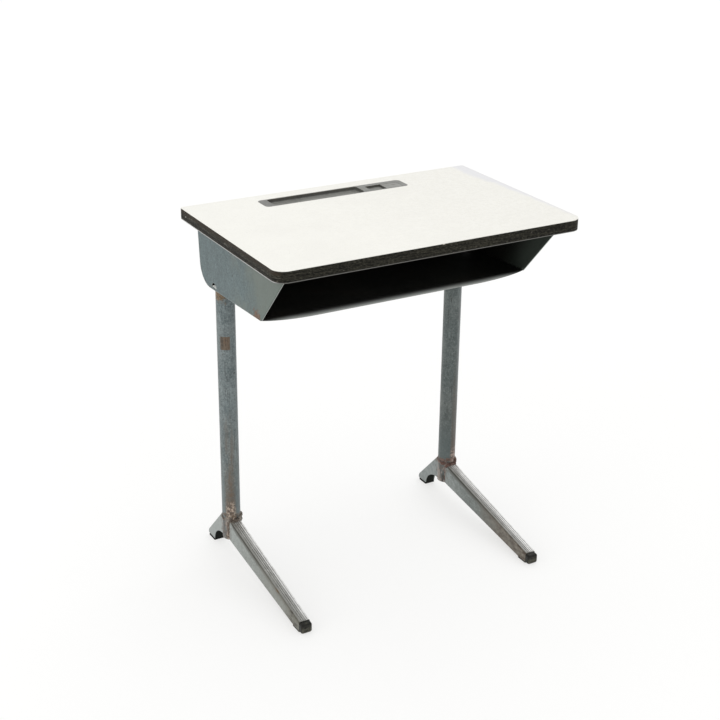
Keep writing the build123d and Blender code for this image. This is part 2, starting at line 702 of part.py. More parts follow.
def rear_pad(side):
    """The rubber block that fills the heel."""
    middle = Plane.YZ.offset(side * COLUMN_X)
    with BuildPart() as pad:
        with BuildSketch(middle):
            with Locations((pad_front, 0)):
                Rectangle(REAR_PAD_LENGTH, PAD_THICKNESS, align=Align.MIN)
        extrude(amount=FOOT_WIDTH / 2, both=True)
        fillet(pad.edges().filter_by(Axis.Z), radius=PAD_ROUNDING)
        with BuildSketch(middle):
            add(pad_shape)
            with Locations((pad_front, PAD_THICKNESS - RUBBER_OVERLAP)):
                Rectangle(HEEL_Y - pad_front, HEEL_TOP, align=Align.MIN, mode=Mode.INTERSECT)
        extrude(amount=FOOT_WIDTH / 2 - FOOT_SHEET - RUBBER_FIT, both=True)
    return pad


def foot_weld(side):
    """The bead round the column, lying on both arms."""
    middle = Plane.YZ.offset(side * COLUMN_X)
    room = column_room(side)
    height = (WELD_FRONT_HEIGHT + WELD_BACK_HEIGHT) / 2
    tilt = degrees(atan((WELD_BACK_HEIGHT - WELD_FRONT_HEIGHT) / COLUMN_DIAMETER))
    with BuildPart() as bead:
        with Locations(Location((side * COLUMN_X, COLUMN_Y, height), (tilt, 0, 0))):
            Torus(WELD_RING_RADIUS, WELD_BEAD_RADIUS)
        add(room, mode=Mode.SUBTRACT)
        with BuildSketch(middle):
            add(arm_outline.sketch_local)
            add(heel_shape)
        extrude(amount=FOOT_WIDTH / 2 + WELD_FIT, both=True, mode=Mode.SUBTRACT)
    return bead


for name, side in SIDES.items():
    save(column(side), f"column_{name}")
    save(column_plate(side), f"column_plate_{name}")
    save(front_arm(side), f"foot_front_arm_{name}")
    save(rear_arm(side), f"foot_rear_arm_{name}")
    save(tread_strip(side), f"tread_strip_{name}")
    save(toe_cap(side), f"toe_cap_{name}")
    save(rear_pad(side), f"rear_pad_{name}")
    save(foot_weld(side), f"foot_weld_{name}")
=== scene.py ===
import math

import bmesh
import bpy
from mathutils import Matrix, Vector, noise


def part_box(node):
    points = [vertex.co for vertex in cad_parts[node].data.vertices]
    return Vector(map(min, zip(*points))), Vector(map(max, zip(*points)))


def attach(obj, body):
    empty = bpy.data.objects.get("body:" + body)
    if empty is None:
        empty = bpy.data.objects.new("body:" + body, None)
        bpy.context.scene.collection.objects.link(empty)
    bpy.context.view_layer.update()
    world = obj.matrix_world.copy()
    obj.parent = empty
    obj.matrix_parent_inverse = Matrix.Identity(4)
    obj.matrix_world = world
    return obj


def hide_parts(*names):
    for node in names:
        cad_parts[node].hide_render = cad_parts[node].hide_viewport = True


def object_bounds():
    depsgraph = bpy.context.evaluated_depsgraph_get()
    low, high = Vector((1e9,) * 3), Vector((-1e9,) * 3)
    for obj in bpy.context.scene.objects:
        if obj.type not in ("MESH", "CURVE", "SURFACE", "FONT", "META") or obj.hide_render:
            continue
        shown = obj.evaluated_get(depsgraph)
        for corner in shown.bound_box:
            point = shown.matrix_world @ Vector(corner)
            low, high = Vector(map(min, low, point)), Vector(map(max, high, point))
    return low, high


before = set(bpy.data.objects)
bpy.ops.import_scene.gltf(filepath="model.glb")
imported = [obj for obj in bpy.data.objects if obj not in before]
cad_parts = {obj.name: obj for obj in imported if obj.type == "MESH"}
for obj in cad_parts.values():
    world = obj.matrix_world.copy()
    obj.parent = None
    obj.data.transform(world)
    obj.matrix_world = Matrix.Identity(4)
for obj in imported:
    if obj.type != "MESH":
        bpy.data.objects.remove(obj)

# The looks of a single pupil's desk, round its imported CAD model. Metres, in the desk's own frame:
# +Z is up, the pupil sits at -Y, and the origin is on the floor. Colours are linear RGB.

CAD_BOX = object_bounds()
SIDES = ("left", "right")
MM = 0.001
UP = Vector((0, 0, 1))

# The nose of a toe cap is worn into a dish: its depth, and the sizes of its rim and its floor.
DISH_DEPTH = 2.0 * MM
DISH_RIM_SHRINK = 0.92
DISH_FLOOR_SHRINK = 0.75


# ================================================================ what every finish shares
BEVEL_SAMPLES = 4
EDGE_START, EDGE_FULL = 0.03, 0.25  # how far the rounded normal has left the true one along an edge
NOISE_LOW, NOISE_HIGH = 0.3, 0.7  # most of a noise lies between these
SEED_SHIFT = (1.0, 1.7, -1.0)  # how far a seed moves a noise along each axis
HAIRLINE_STRETCH = (1.0, 90.0, 1.0)
MIX_FACTOR, MIX_BELOW, MIX_ABOVE, MIX_RESULT = 0, 6, 7, 2  # a Mix node's sockets for colours


def toned(colour, factor):
    """A colour made lighter or darker."""
    return tuple(factor * channel for channel in colour)


class Finish:
    """One procedural finish: a Principled shader, its colour so far, and methods for its nodes."""

    def __init__(self, name, metallic=0.0, gloss=0.5, edge_radius=0.5 * MM):
        self.material = bpy.data.materials.new(name)
        self.material.use_nodes = True
        self.tree = self.material.node_tree
        self.tree.nodes.clear()
        self.shader = self.node("BsdfPrincipled")
        self.shader.inputs["Metallic"].default_value = metallic
        self.shader.inputs["Specular IOR Level"].default_value = gloss
        surface = self.node("OutputMaterial").inputs["Surface"]
        self.tree.links.new(self.shader.outputs["BSDF"], surface)
        self.position = self.node("TexCoord").outputs["Object"]
        self.x, self.y, self.z = self.node("SeparateXYZ", Vector=self.position).outputs
        self.normal = self.node("NewGeometry").outputs["Normal"]
        self.normal_x, self.normal_y, self.normal_z = self.node("SeparateXYZ", Vector=self.normal).outputs
        self.rounded = self.node("Bevel", {"samples": BEVEL_SAMPLES}, Radius=edge_radius).outputs["Normal"]
        self.colour = None

    def node(self, kind, settings=None, **inputs):
        made = self.tree.nodes.new("ShaderNode" + kind)
        for key, value in (settings or {}).items():
            setattr(made, key, value)
        for key, value in inputs.items():
            self.feed(made.inputs[key], value)
        return made

    def feed(self, socket, value):
        if isinstance(value, bpy.types.NodeSocket):
            self.tree.links.new(value, socket)
        elif socket.type == "RGBA" and len(value) == 3:
            socket.default_value = (*value, 1.0)
        else:
            socket.default_value = value

    def maths(self, operation, *values):
        made = self.node("Math", {"operation": operation})
        for socket, value in zip(made.inputs, values):
            self.feed(socket, value)
        return made.outputs[0]

    def each(self, operation, first, others):
        for other in others:
            first = self.maths(operation, first, other)
        return first

    def times(self, first, *others):
        return self.each("MULTIPLY", first, others)

    def plus(self, first, *others):
        return self.each("ADD", first, others)

    def most(self, first, *others):
        return self.each("MAXIMUM", first, others)

    def less(self, first, second):
        return self.maths("SUBTRACT", first, second)

    def size_of(self, value):
        return self.maths("ABSOLUTE", value)

    def levels(self, value, low, high, to_low=0.0, to_high=1.0):
        """A smooth climb from to_low, where value is low, to to_high, where it is high."""
        made = self.node("MapRange", {"interpolation_type": "SMOOTHSTEP"}, Value=value)
        ends = {"From Min": low, "From Max": high, "To Min": to_low, "To Max": to_high}
        for key, number in ends.items():
            made.inputs[key].default_value = number
        return made.outputs["Result"]

    def between(self, share, at_none, at_full):
        """at_none where share is 0, and at_full where it is 1."""
        return self.levels(share, 0.0, 1.0, at_none, at_full)

    def spread(self, cloud, to_low, to_high):
        """Between to_low and to_high, as a noise goes from low to high."""
        return self.levels(cloud, NOISE_LOW, NOISE_HIGH, to_low, to_high)

    def sway(self, value, cloud, amount):
        """value, made uneven by a noise, by up to amount either way."""
        return self.plus(value, self.spread(cloud, -amount, amount))

    def band(self, value, low, high, soft):
        """1 where value is between low and high, falling away over soft on each side."""
        above = self.levels(value, low - soft, low + soft)
        below = self.levels(value, high + soft, high - soft)
        return self.times(above, below)

    def noise(self, scale, detail, roughness, stretch=(1.0, 1.0, 1.0), seed=0.0, turn=0.0):
        """Fractal noise with scale features to the metre, turned in plan."""
        spot = self.node(
            "Mapping",
            Vector=self.position,
            Location=tuple(seed * shift for shift in SEED_SHIFT),
            Rotation=(0.0, 0.0, turn),
            Scale=stretch,
        )
        made = self.node(
            "TexNoise",
            Vector=spot.outputs["Vector"],
            Scale=scale,
            Detail=detail,
            Roughness=roughness,
        )
        return made.outputs[0]

    def cells(self, scale):
        """Distance from the middle of the nearest cell, with scale cells to the metre."""
        return self.node("TexVoronoi", Vector=self.position, Scale=scale).outputs["Distance"]

    def edges(self):
        """1 along the sharp edges, 0 on the flats."""
        flat = self.node("VectorMath", {"operation": "DOT_PRODUCT"})
        self.feed(flat.inputs[0], self.rounded)
        self.feed(flat.inputs[1], self.normal)
        return self.levels(flat.outputs["Value"], 1.0 - EDGE_START, 1.0 - EDGE_FULL)

    def scratches(self, angle, density, seed):
        """Fine hairlines at an angle in plan."""
        lines = self.noise(8.0, 2.0, 0.5, HAIRLINE_STRETCH, seed, angle)
        gaps = self.noise(14.0, 3.0, 0.5, seed=seed + 5.0)
        return self.times(self.levels(lines, 0.70 - density, 0.72 - density), self.levels(gaps, 0.50, 0.62))

    def blend(self, factor, below, above):
        made = self.node("Mix", {"data_type": "RGBA"})
        self.feed(made.inputs[MIX_FACTOR], factor)
        self.feed(made.inputs[MIX_BELOW], below)
        self.feed(made.inputs[MIX_ABOVE], above)
        return made.outputs[MIX_RESULT]

    def ground(self, factor, dark, light):
        """Starts the colour, between two tones."""
        self.colour = self.blend(factor, dark, light)

    def tint(self, factor, colour, amount=None):
        """Lays a colour over the colour so far, as strongly as factor says, times amount."""
        if amount is not None:
            factor = self.times(factor, amount)
        self.colour = self.blend(factor, self.colour, colour)

    def done(self, roughness, relief=None, depth=0.0):
        """Joins the colour, the roughness and a bump of that depth to the shader."""
        self.feed(self.shader.inputs["Base Color"], self.colour)
        self.feed(self.shader.inputs["Roughness"], roughness)
        normal = self.rounded
        if relief is not None:
            normal = self.node("Bump", Height=relief, Normal=self.rounded, Distance=depth).outputs["Normal"]
        self.feed(self.shader.inputs["Normal"], normal)
        return self.material


# ================================================================ the top
def laminate():
    """The off-white writing surface: mottled, a little dirty, worn lilac-grey at its right end, and lighter
    towards its left end as painted light.
    """
    dull_white = (0.775, 0.764, 0.712)
    white = (0.835, 0.826, 0.778)
    left_lit_white = (0.875, 0.868, 0.818)
    cloudy = (0.800, 0.792, 0.748)
    speck_grey = (0.50, 0.49, 0.45)
    hair_grey = (0.60, 0.59, 0.57)
    lilac_grey = (0.715, 0.718, 0.750)
    dirt = (0.30, 0.26, 0.21)
    f = Finish("laminate", gloss=0.4, edge_radius=0.4 * MM)
    low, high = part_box("top_laminate")
    mottle = f.noise(150.0, 6.0, 0.72)
    cloud = f.noise(8.0, 5.0, 0.62, seed=3.0)
    speck = f.noise(650.0, 2.0, 0.5, seed=1.0)
    f.ground(f.levels(mottle, 0.40, 0.60), dull_white, white)
    # Painted light: the surface grows lighter towards its left end, as if lit from that side.
    f.tint(f.levels(f.x, high.x, low.x, 0.15, 0.75), left_lit_white)
    f.tint(f.levels(cloud, 0.40, 0.68, 0.0, 0.45), cloudy)
    f.tint(f.levels(speck, 0.60, 0.72, 0.0, 0.35), speck_grey)
    hairs = f.most(f.scratches(0.35, 0.0, 2.0), f.scratches(-0.9, 0.01, 7.0), f.scratches(1.35, 0.0, 12.0))
    f.tint(hairs, hair_grey, 0.25)
    reach = f.levels(f.y, low.y + 60 * MM, high.y + 40 * MM, 1 * MM, 30 * MM)
    from_end = f.sway(f.less(high.x, f.x), f.noise(18.0, 6.0, 0.7, seed=9.0), 6 * MM)
    wear_and_reflection = f.levels(f.less(from_end, reach), 11 * MM, -7 * MM)
    f.tint(wear_and_reflection, lilac_grey, 0.8)
    grime = f.times(f.edges(), f.levels(mottle, 0.40, 0.60))
    f.tint(grime, dirt, 0.35)
    roughness = f.plus(f.levels(cloud, 0.35, 0.70, 0.34, 0.46), f.times(hairs, 0.15), f.times(wear_and_reflection, 0.12))
    return f.done(roughness, f.plus(mottle, f.times(hairs, -1.5)), 0.03 * MM)


def lipping():
    """The dark brown band round the top, with a fibrous streak, scuffs, pale chips and a painted shadow
    line low on its ends.
    """
    black_brown = (0.0050, 0.0046, 0.0032)
    brown = (0.026, 0.0245, 0.0175)
    flecks = (0.066, 0.063, 0.048)
    pores = (0.0025, 0.0023, 0.0016)
    end_brown = (0.062, 0.056, 0.043)
    scuffed = (0.165, 0.157, 0.134)
    warm_brown = (0.034, 0.025, 0.017)
    shadow_line_black = (0.0060, 0.0055, 0.0040)
    chipped = (0.22, 0.20, 0.17)
    rubbed = (0.13, 0.115, 0.09)
    f = Finish("lipping", gloss=0.09, edge_radius=0.8 * MM)
    low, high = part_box("edge_band")
    streak = f.noise(14.0, 8.0, 0.72, (1.0, 1.0, 22.0))
    fine = f.noise(170.0, 6.0, 0.75, (1.0, 1.0, 2.5), 4.0)
    scuff = f.levels(f.noise(60.0, 8.0, 0.78, (1.0, 1.0, 3.0), 8.0), 0.54, 0.66)
    f.ground(f.levels(streak, 0.44, 0.58), black_brown, brown)
    f.tint(f.levels(fine, 0.51, 0.60, 0.0, 0.7), flecks)
    f.tint(f.levels(fine, 0.47, 0.41, 0.0, 0.85), pores)
    ends = f.levels(f.size_of(f.normal_x), 0.4, 0.9)
    f.tint(f.between(ends, 0.0, 0.15), end_brown)
    f.tint(f.times(scuff, f.between(ends, 0.12, 0.60)), scuffed)
    wavering = f.sway(f.z, streak, 1.2 * MM)
    upper = f.levels(wavering, low.z + 11 * MM, low.z + 15 * MM)
    f.tint(f.times(upper, ends, f.levels(fine, 0.42, 0.56, 0.4, 0.9)), warm_brown)
    # Painted shadow: a dark line low on the band's ends, just above the backing.
    shadow_line = f.band(wavering, low.z + 3.5 * MM, low.z + 6.5 * MM, 1.2 * MM)
    f.tint(f.times(shadow_line, ends), shadow_line_black, 0.75)
    f.tint(f.levels(f.noise(120.0, 4.0, 0.6, seed=2.0), 0.67, 0.72), chipped, 0.55)
    wear = f.times(f.edges(), f.levels(f.noise(90.0, 6.0, 0.7, seed=6.0), 0.44, 0.66))
    f.tint(wear, rubbed, 0.5)
    lipping_marks(f, low, high)
    relief = f.plus(streak, fine, f.times(wear, -0.8))
    return f.done(f.spread(streak, 0.50, 0.70), relief, 0.45 * MM)


def lipping_marks(f, low, high):
    """The pale nail head near the back of the left end, and the nick in the front's top edge."""
    pale = (0.55, 0.53, 0.48)
    raw_edge = (0.50, 0.47, 0.40)
    nail_half, nail_soft = 1 * MM, 0.6 * MM
    nail_y = high.y - 27 * MM
    nail_z = low.z + 9.2 * MM
    nail = f.times(
        f.band(f.y, nail_y - nail_half, nail_y + nail_half, nail_soft),
        f.band(f.z, nail_z - nail_half, nail_z + nail_half, nail_soft),
        f.levels(f.x, low.x + 3 * MM, low.x + 1 * MM),
    )
    f.tint(nail, pale)
    nick_x = (low.x + high.x) / 2 + 11 * MM
    nick = f.times(
        f.band(f.x, nick_x - 3 * MM, nick_x + 2 * MM, 1 * MM),
        f.levels(f.z, high.z - 2.2 * MM, high.z - 1.2 * MM),
        f.levels(f.y, low.y + 6 * MM, low.y + 4 * MM),
    )
    f.tint(nick, raw_edge, 0.8)


def backing():
    """The pale sheet under the board, grimy at its edge, and darker on its front edge as painted shade."""
    grey = (0.40, 0.395, 0.385)
    pale_grey = (0.54, 0.54, 0.54)
    stained = (0.30, 0.27, 0.24)
    edge_grime_and_front_shade = (0.090, 0.088, 0.080)
    f = Finish("backing", gloss=0.3, edge_radius=0.3 * MM)
    fibre = f.noise(220.0, 6.0, 0.7, (1.0, 1.0, 0.4))
    stain = f.noise(11.0, 5.0, 0.65, seed=5.0)
    f.ground(f.levels(fibre, 0.35, 0.68), grey, pale_grey)
    f.tint(f.levels(stain, 0.50, 0.75, 0.0, 0.5), stained)
    # The edge is a little grimy all round; the much stronger darkening of the front edge is painted shade.
    rim = f.levels(f.size_of(f.normal_z), 0.8, 0.2)
    front = f.levels(f.normal_y, -0.2, -0.9)
    f.tint(f.times(rim, f.between(front, 0.10, 0.88)), edge_grime_and_front_shade)
    return f.done(f.spread(stain, 0.5, 0.7), fibre, 0.08 * MM)


def board():
    """The particle board inside the top."""
    brown = (0.42, 0.30, 0.19)
    straw = (0.60, 0.46, 0.31)
    f = Finish("board")
    chips = f.cells(330.0)
    f.ground(f.levels(chips, 0.1, 0.75), brown, straw)
    return f.done(f.between(chips, 0.7, 0.9), chips, 0.4 * MM)


PLASTIC_TONES = {
    "tray_plastic": ((0.128, 0.130, 0.121), (0.182, 0.184, 0.172), (0.238, 0.238, 0.220)),
    "cover_plastic": ((0.165, 0.167, 0.155), (0.225, 0.226, 0.210), (0.255, 0.255, 0.238)),
}


def plastic(name):
    """Moulded plastic with dust in its corners, painted shade on its walls, and rubbed edges."""
    dark, light, dust = PLASTIC_TONES[name]
    shaded = (0.030, 0.028, 0.022)
    dirt = (0.105, 0.080, 0.055)
    rubbed = (0.36, 0.36, 0.34)
    f = Finish(name, gloss=0.4, edge_radius=0.5 * MM)
    low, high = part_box("pen_tray")
    cloud = f.noise(28.0, 6.0, 0.68)
    blotch = f.noise(120.0, 6.0, 0.72, seed=8.0)
    grain = f.noise(900.0, 3.0, 0.6, seed=3.0)
    smear = f.noise(40.0, 5.0, 0.65, (0.25, 2.0, 1.0), 6.0)
    f.ground(f.levels(cloud, 0.32, 0.70), dark, light)
    f.tint(f.levels(blotch, 0.48, 0.62, 0.0, 0.6), dust)
    in_groove = f.times(f.levels(f.z, high.z - 4 * MM, high.z - 7 * MM), f.levels(f.normal_z, 0.6, 0.9))
    f.tint(f.times(in_groove, f.levels(cloud, 0.35, 0.60, 0.35, 0.85)), dust)
    rightwards = f.levels(f.x, (low.x + high.x) / 2 - 30 * MM, high.x - 30 * MM)
    f.tint(rightwards, dust, 0.25)
    flat = f.levels(f.normal_z, 0.8, 0.98)
    f.tint(f.times(f.levels(smear, 0.48, 0.70), flat), dust, 0.55)
    # Painted shade: the walls of the groove and the well are darkened.
    walls = f.levels(f.normal_z, 0.80, 0.15)
    f.tint(walls, shaded, 0.60)
    by_rim = f.levels(f.z, high.z - 3 * MM, high.z - 1 * MM)
    under_rim = f.times(walls, f.levels(f.normal_y, -0.4, -0.9), by_rim)
    f.tint(f.times(under_rim, f.levels(blotch, 0.4, 0.6)), dirt, 0.7)
    edge_tone = f.times(f.edges(), f.levels(cloud, 0.40, 0.60))
    f.tint(f.times(edge_tone, flat), rubbed, 0.4)
    return f.done(f.spread(smear, 0.36, 0.55), f.plus(grain, smear), 0.05 * MM)


# ================================================================ painted steel
PIT_BLACK = (0.030, 0.026, 0.020)
RUBBED_STEEL = (0.26, 0.27, 0.26)
PAINT_DEPTH = 0.10 * MM
RUST = ((0.055, 0.026, 0.013), (0.20, 0.095, 0.042))
BROWN_RUST = (0.055, 0.036, 0.026)
UPRIGHT_PATCHES = (1.0, 1.0, 0.35)


class Paint(Finish):
    """Old enamel on sheet steel: clouded and streaked, with small pits and rubbed, pale edges; on the box's
    outside their pale colour also stands as a painted highlight.
    """

    def __init__(self, name, dark, light, seed, edge_colour=RUBBED_STEEL, gloss=0.30, edge_radius=0.6 * MM):
        super().__init__(name, gloss=gloss, edge_radius=edge_radius)
        self.cloud = self.noise(11.0, 6.0, 0.66, seed=seed)
        self.streak = self.noise(9.0, 6.0, 0.7, (9.0, 9.0, 0.8), seed + 2.0)
        self.grain = self.noise(270.0, 4.0, 0.68, seed=seed + 4.0)
        self.mottle = self.noise(95.0, 7.0, 0.75, seed=seed + 6.0)
        self.ground(self.levels(self.cloud, 0.34, 0.66), dark, light)
        self.tint(self.levels(self.streak, 0.50, 0.70, 0.0, 0.30), toned(dark, 0.62))
        self.tint(self.levels(self.mottle, 0.50, 0.66, 0.0, 0.45), toned(light, 1.40))
        self.tint(self.levels(self.mottle, 0.48, 0.34, 0.0, 0.50), toned(dark, 0.55))
        self.tint(self.levels(self.grain, 0.53, 0.66, 0.0, 0.50), toned(light, 1.7))
        self.tint(self.levels(self.grain, 0.47, 0.36, 0.0, 0.50), toned(dark, 0.45))
        pits = self.levels(self.noise(170.0, 3.0, 0.55, seed=seed + 8.0), 0.68, 0.74)
        self.tint(pits, PIT_BLACK, 0.8)
        # Edges take the edge colour: rubbed paint, and on the box's outside also a painted highlight.
        rubbed = self.times(self.edges(), self.levels(self.mottle, 0.34, 0.56))
        self.tint(rubbed, edge_colour, 0.8)
        self.relief = self.plus(self.times(self.grain, 0.35), self.mottle, self.times(pits, -1.5))

    def rust(self, where, amount, tones=RUST):
        """Flaking rust, in the ragged part of where."""
        flake = self.noise(130.0, 7.0, 0.75, seed=21.0)
        uneven = self.sway(where, flake, 0.45)
        ragged = self.levels(uneven, 0.35, 0.75, 0.0, amount)
        tone = self.blend(self.levels(self.noise(240.0, 5.0, 0.7, seed=23.0), 0.35, 0.65), *tones)
        self.tint(ragged, tone)
        self.relief = self.plus(self.relief, self.times(ragged, flake, 3.0))

    def painted(self, smoothest, roughest):
        return self.done(self.spread(self.cloud, smoothest, roughest), self.relief, PAINT_DEPTH)


def box_outside():
    """The book box's outer faces: blue-grey at the back, greener at the front, rusty at one corner, with
    painted shade under the top, and a painted highlight on the pressed tab and, with pale wear, along the
    edges.
    """
    blue_grey = ((0.071, 0.103, 0.107), (0.093, 0.128, 0.131))
    greenish = (0.116, 0.138, 0.113)
    shade_under_top = (0.050, 0.054, 0.046)
    edge_tone = (0.50, 0.52, 0.50)
    tab_highlight = (0.46, 0.48, 0.46)
    cut_edge_wear_and_highlight = (0.42, 0.44, 0.42)
    speck_brown = (0.060, 0.037, 0.020)
    # The pale edge tone is partly bare wear and partly a painted highlight along the sheets' edges.
    f = Paint("box_outside", *blue_grey, seed=0.0, edge_colour=edge_tone, edge_radius=1.0 * MM)
    low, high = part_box("box_side_left")
    wavering = f.sway(f.y, f.cloud, 60 * MM)
    f.tint(f.levels(wavering, high.y - 150 * MM, low.y + 90 * MM), greenish, 0.75)
    # Painted shade: darker in a band just under the top's overhang.
    f.tint(f.levels(f.z, high.z - 36 * MM, high.z - 2 * MM, 0.0, 0.65), shade_under_top)
    # Painted highlight: the upward face of the pressed-in tab is pale.
    tab = f.times(f.band(f.normal_z, 0.50, 0.64, 0.03), f.band(f.size_of(f.normal_x), 0.76, 0.88, 0.03))
    f.tint(tab, tab_highlight)
    # The front-facing cut edges of the side panels are pale: partly wear, partly a painted highlight.
    cut_edge = f.times(f.levels(f.size_of(f.normal_x), 0.5, 0.2), f.levels(f.normal_y, -0.3, -0.6))
    f.tint(f.times(cut_edge, f.levels(f.mottle, 0.3, 0.5, 0.4, 0.9)), cut_edge_wear_and_highlight)
    corner_y = low.y + 126 * MM
    round_corner = f.band(f.y, corner_y - 34 * MM, corner_y + 40 * MM, 25 * MM)
    near = f.times(round_corner, f.levels(f.z, low.z + 75 * MM, low.z))
    specks = f.levels(f.noise(210.0, 4.0, 0.6, seed=13.0), 0.60, 0.68)
    f.tint(f.times(near, specks), speck_brown, 0.9)
    corner = f.band(f.y, corner_y - 16 * MM, corner_y + 14 * MM, 8 * MM)
    left_end = f.levels(f.x, low.x + 42 * MM, low.x + 12 * MM)
    f.rust(f.times(corner, f.levels(f.z, low.z + 34 * MM, low.z + 12 * MM), left_end), 0.8)
    bottom_edge = f.levels(f.z, low.z + 5 * MM, low.z - 1 * MM)
    f.rust(f.times(bottom_edge, 0.5), 0.5)
    return f.painted(0.36, 0.50)


def box_inside():
    """The book box's inner faces and lip: painted nearly black as shade, with brown dirt, paler towards the
    mouth as painted light, and a painted reflection of the floor low on the lip.
    """
    shade_black = ((0.0045, 0.0048, 0.0040), (0.0085, 0.0088, 0.0070))
    edge_tone = (0.05, 0.052, 0.046)
    brown = (0.014, 0.010, 0.006)
    mouth_lit_green = (0.036, 0.045, 0.037)
    lip_floor_reflection = (0.340, 0.355, 0.340)
    f = Paint("box_inside", *shade_black, seed=30.0, edge_colour=edge_tone, gloss=0.22)
    low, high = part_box("box_wrap")
    f.tint(f.levels(f.cloud, 0.50, 0.75, 0.0, 0.5), brown)
    panel_low, panel_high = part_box("box_side_right")
    lean = (low.y - panel_low.y) / (panel_high.z - low.z - 12 * MM)
    behind_mouth = f.plus(f.y, f.times(f.less(f.z, panel_high.z), lean))
    on_panel = f.levels(f.size_of(f.normal_x), 0.5, 0.9)
    # Painted light: paler near the mouth, where light comes in.
    lit_by_mouth = f.levels(behind_mouth, panel_low.y + 95 * MM, panel_low.y + 15 * MM)
    f.tint(f.times(lit_by_mouth, on_panel), mouth_lit_green, 0.8)
    lip_bottom, bend_start, bend_radius = lip_shape()
    past_start = f.most(f.less(f.size_of(f.x), bend_start), 0.0)
    edge_height = f.plus(f.times(past_start, past_start, 0.5 / bend_radius), lip_bottom)
    above_edge = f.less(f.z, edge_height)
    on_lip = f.levels(f.y, low.y + 6 * MM, low.y + 1 * MM)
    end_fade = f.levels(f.size_of(f.x), high.x - 8 * MM, high.x - 70 * MM, 0.35, 1.0)
    # Painted reflection of the pale floor along the lip's lower edge, fading towards its ends.
    wear_and_reflection = f.times(f.levels(above_edge, 10 * MM, -2 * MM), on_lip, end_fade)
    f.tint(f.times(wear_and_reflection, f.levels(f.mottle, 0.2, 0.5, 0.75, 1.0)), lip_floor_reflection)
    return f.painted(0.48, 0.62)


def lip_shape():
    """The lip's lower edge: its height, where it starts to rise, and the radius of that rise."""
    on_front, on_edge, at_end = 0.5 * MM, 0.05 * MM, 1 * MM
    front_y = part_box("box_wrap")[0].y + on_front
    front = [vertex.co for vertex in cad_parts["box_wrap"].data.vertices if vertex.co.y < front_y]
    lowest = min(spot.z for spot in front)
    start = max(abs(spot.x) for spot in front if spot.z < lowest + on_edge)
    end = max(abs(spot.x) for spot in front)
    run = end - start
    rise = min(spot.z for spot in front if abs(spot.x) > end - at_end) - lowest
    return lowest, start, (run ** 2 + rise ** 2) / (2 * max(rise, 1 * MM))


# stripe is the part of a column that dirt runs down: two angles from its front towards the left, and
# how softly it ends, in degrees.
COLUMN_LOOKS = {
    "left": {
        "enamel": ((0.100, 0.128, 0.132), (0.164, 0.190, 0.192)),
        "seed": 40.0,
        "stripe": (-2, 58, 14),
        "dirt": (0.130, 0.116, 0.092),
        "clean": (0.135, 0.170, 0.180),
        "brown": (0.120, 0.080, 0.052),
        "bare": (0.46, 0.375, 0.30),
        "stub_rust": ((0.055, 0.038, 0.026), (0.19, 0.135, 0.10)),
        "ring_rust": ((0.050, 0.036, 0.024), (0.17, 0.12, 0.08)),
    },
    "right": {
        "enamel": ((0.077, 0.094, 0.092), (0.122, 0.139, 0.134)),
        "seed": 55.0,
        "stripe": (-55, 5, 12),
        "dirt": (0.084, 0.078, 0.064),
        "clean": (0.085, 0.115, 0.118),
        "brown": (0.100, 0.078, 0.060),
        "bare": (0.40, 0.31, 0.27),
        "stub_rust": ((0.055, 0.038, 0.026), (0.155, 0.115, 0.095)),
        "ring_rust": ((0.060, 0.030, 0.022), (0.19, 0.10, 0.07)),
    },
}


def column_paint(side):
    """A column's enamel: scratches, pale and dim patches, its own side's marks (on the right, a painted rim
    light), and a dirty foot.
    """
    look = COLUMN_LOOKS[side]
    dark, light = look["enamel"]
    scratch_black = (0.030, 0.030, 0.027)
    rim_light_pale = (0.175, 0.195, 0.198)
    f = Paint("column_" + side, dark, light, look["seed"])
    low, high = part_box("column_" + side)
    middle = (low + high) / 2
    scratch = f.levels(f.noise(5.0, 3.0, 0.5, (48.0, 48.0, 2.4), 61.0), 0.67, 0.70)
    f.tint(f.times(scratch, f.levels(f.mottle, 0.40, 0.55)), scratch_black, 0.8)
    f.tint(f.levels(f.noise(60.0, 6.0, 0.7, UPRIGHT_PATCHES, 63.0), 0.54, 0.70), toned(light, 1.7), 0.45)
    f.tint(f.levels(f.noise(60.0, 6.0, 0.7, UPRIGHT_PATCHES, 67.0), 0.52, 0.68), toned(dark, 0.5), 0.5)
    if side == "left":
        left_column_wear(f, low, middle)
    else:
        # Painted rim light: the right column's right-hand side is lighter.
        f.tint(f.levels(f.x, middle.x + 1 * MM, middle.x + 12 * MM, 0.0, 0.55), rim_light_pale)
    column_foot(f, low, middle, look)
    return f.painted(0.34, 0.48)


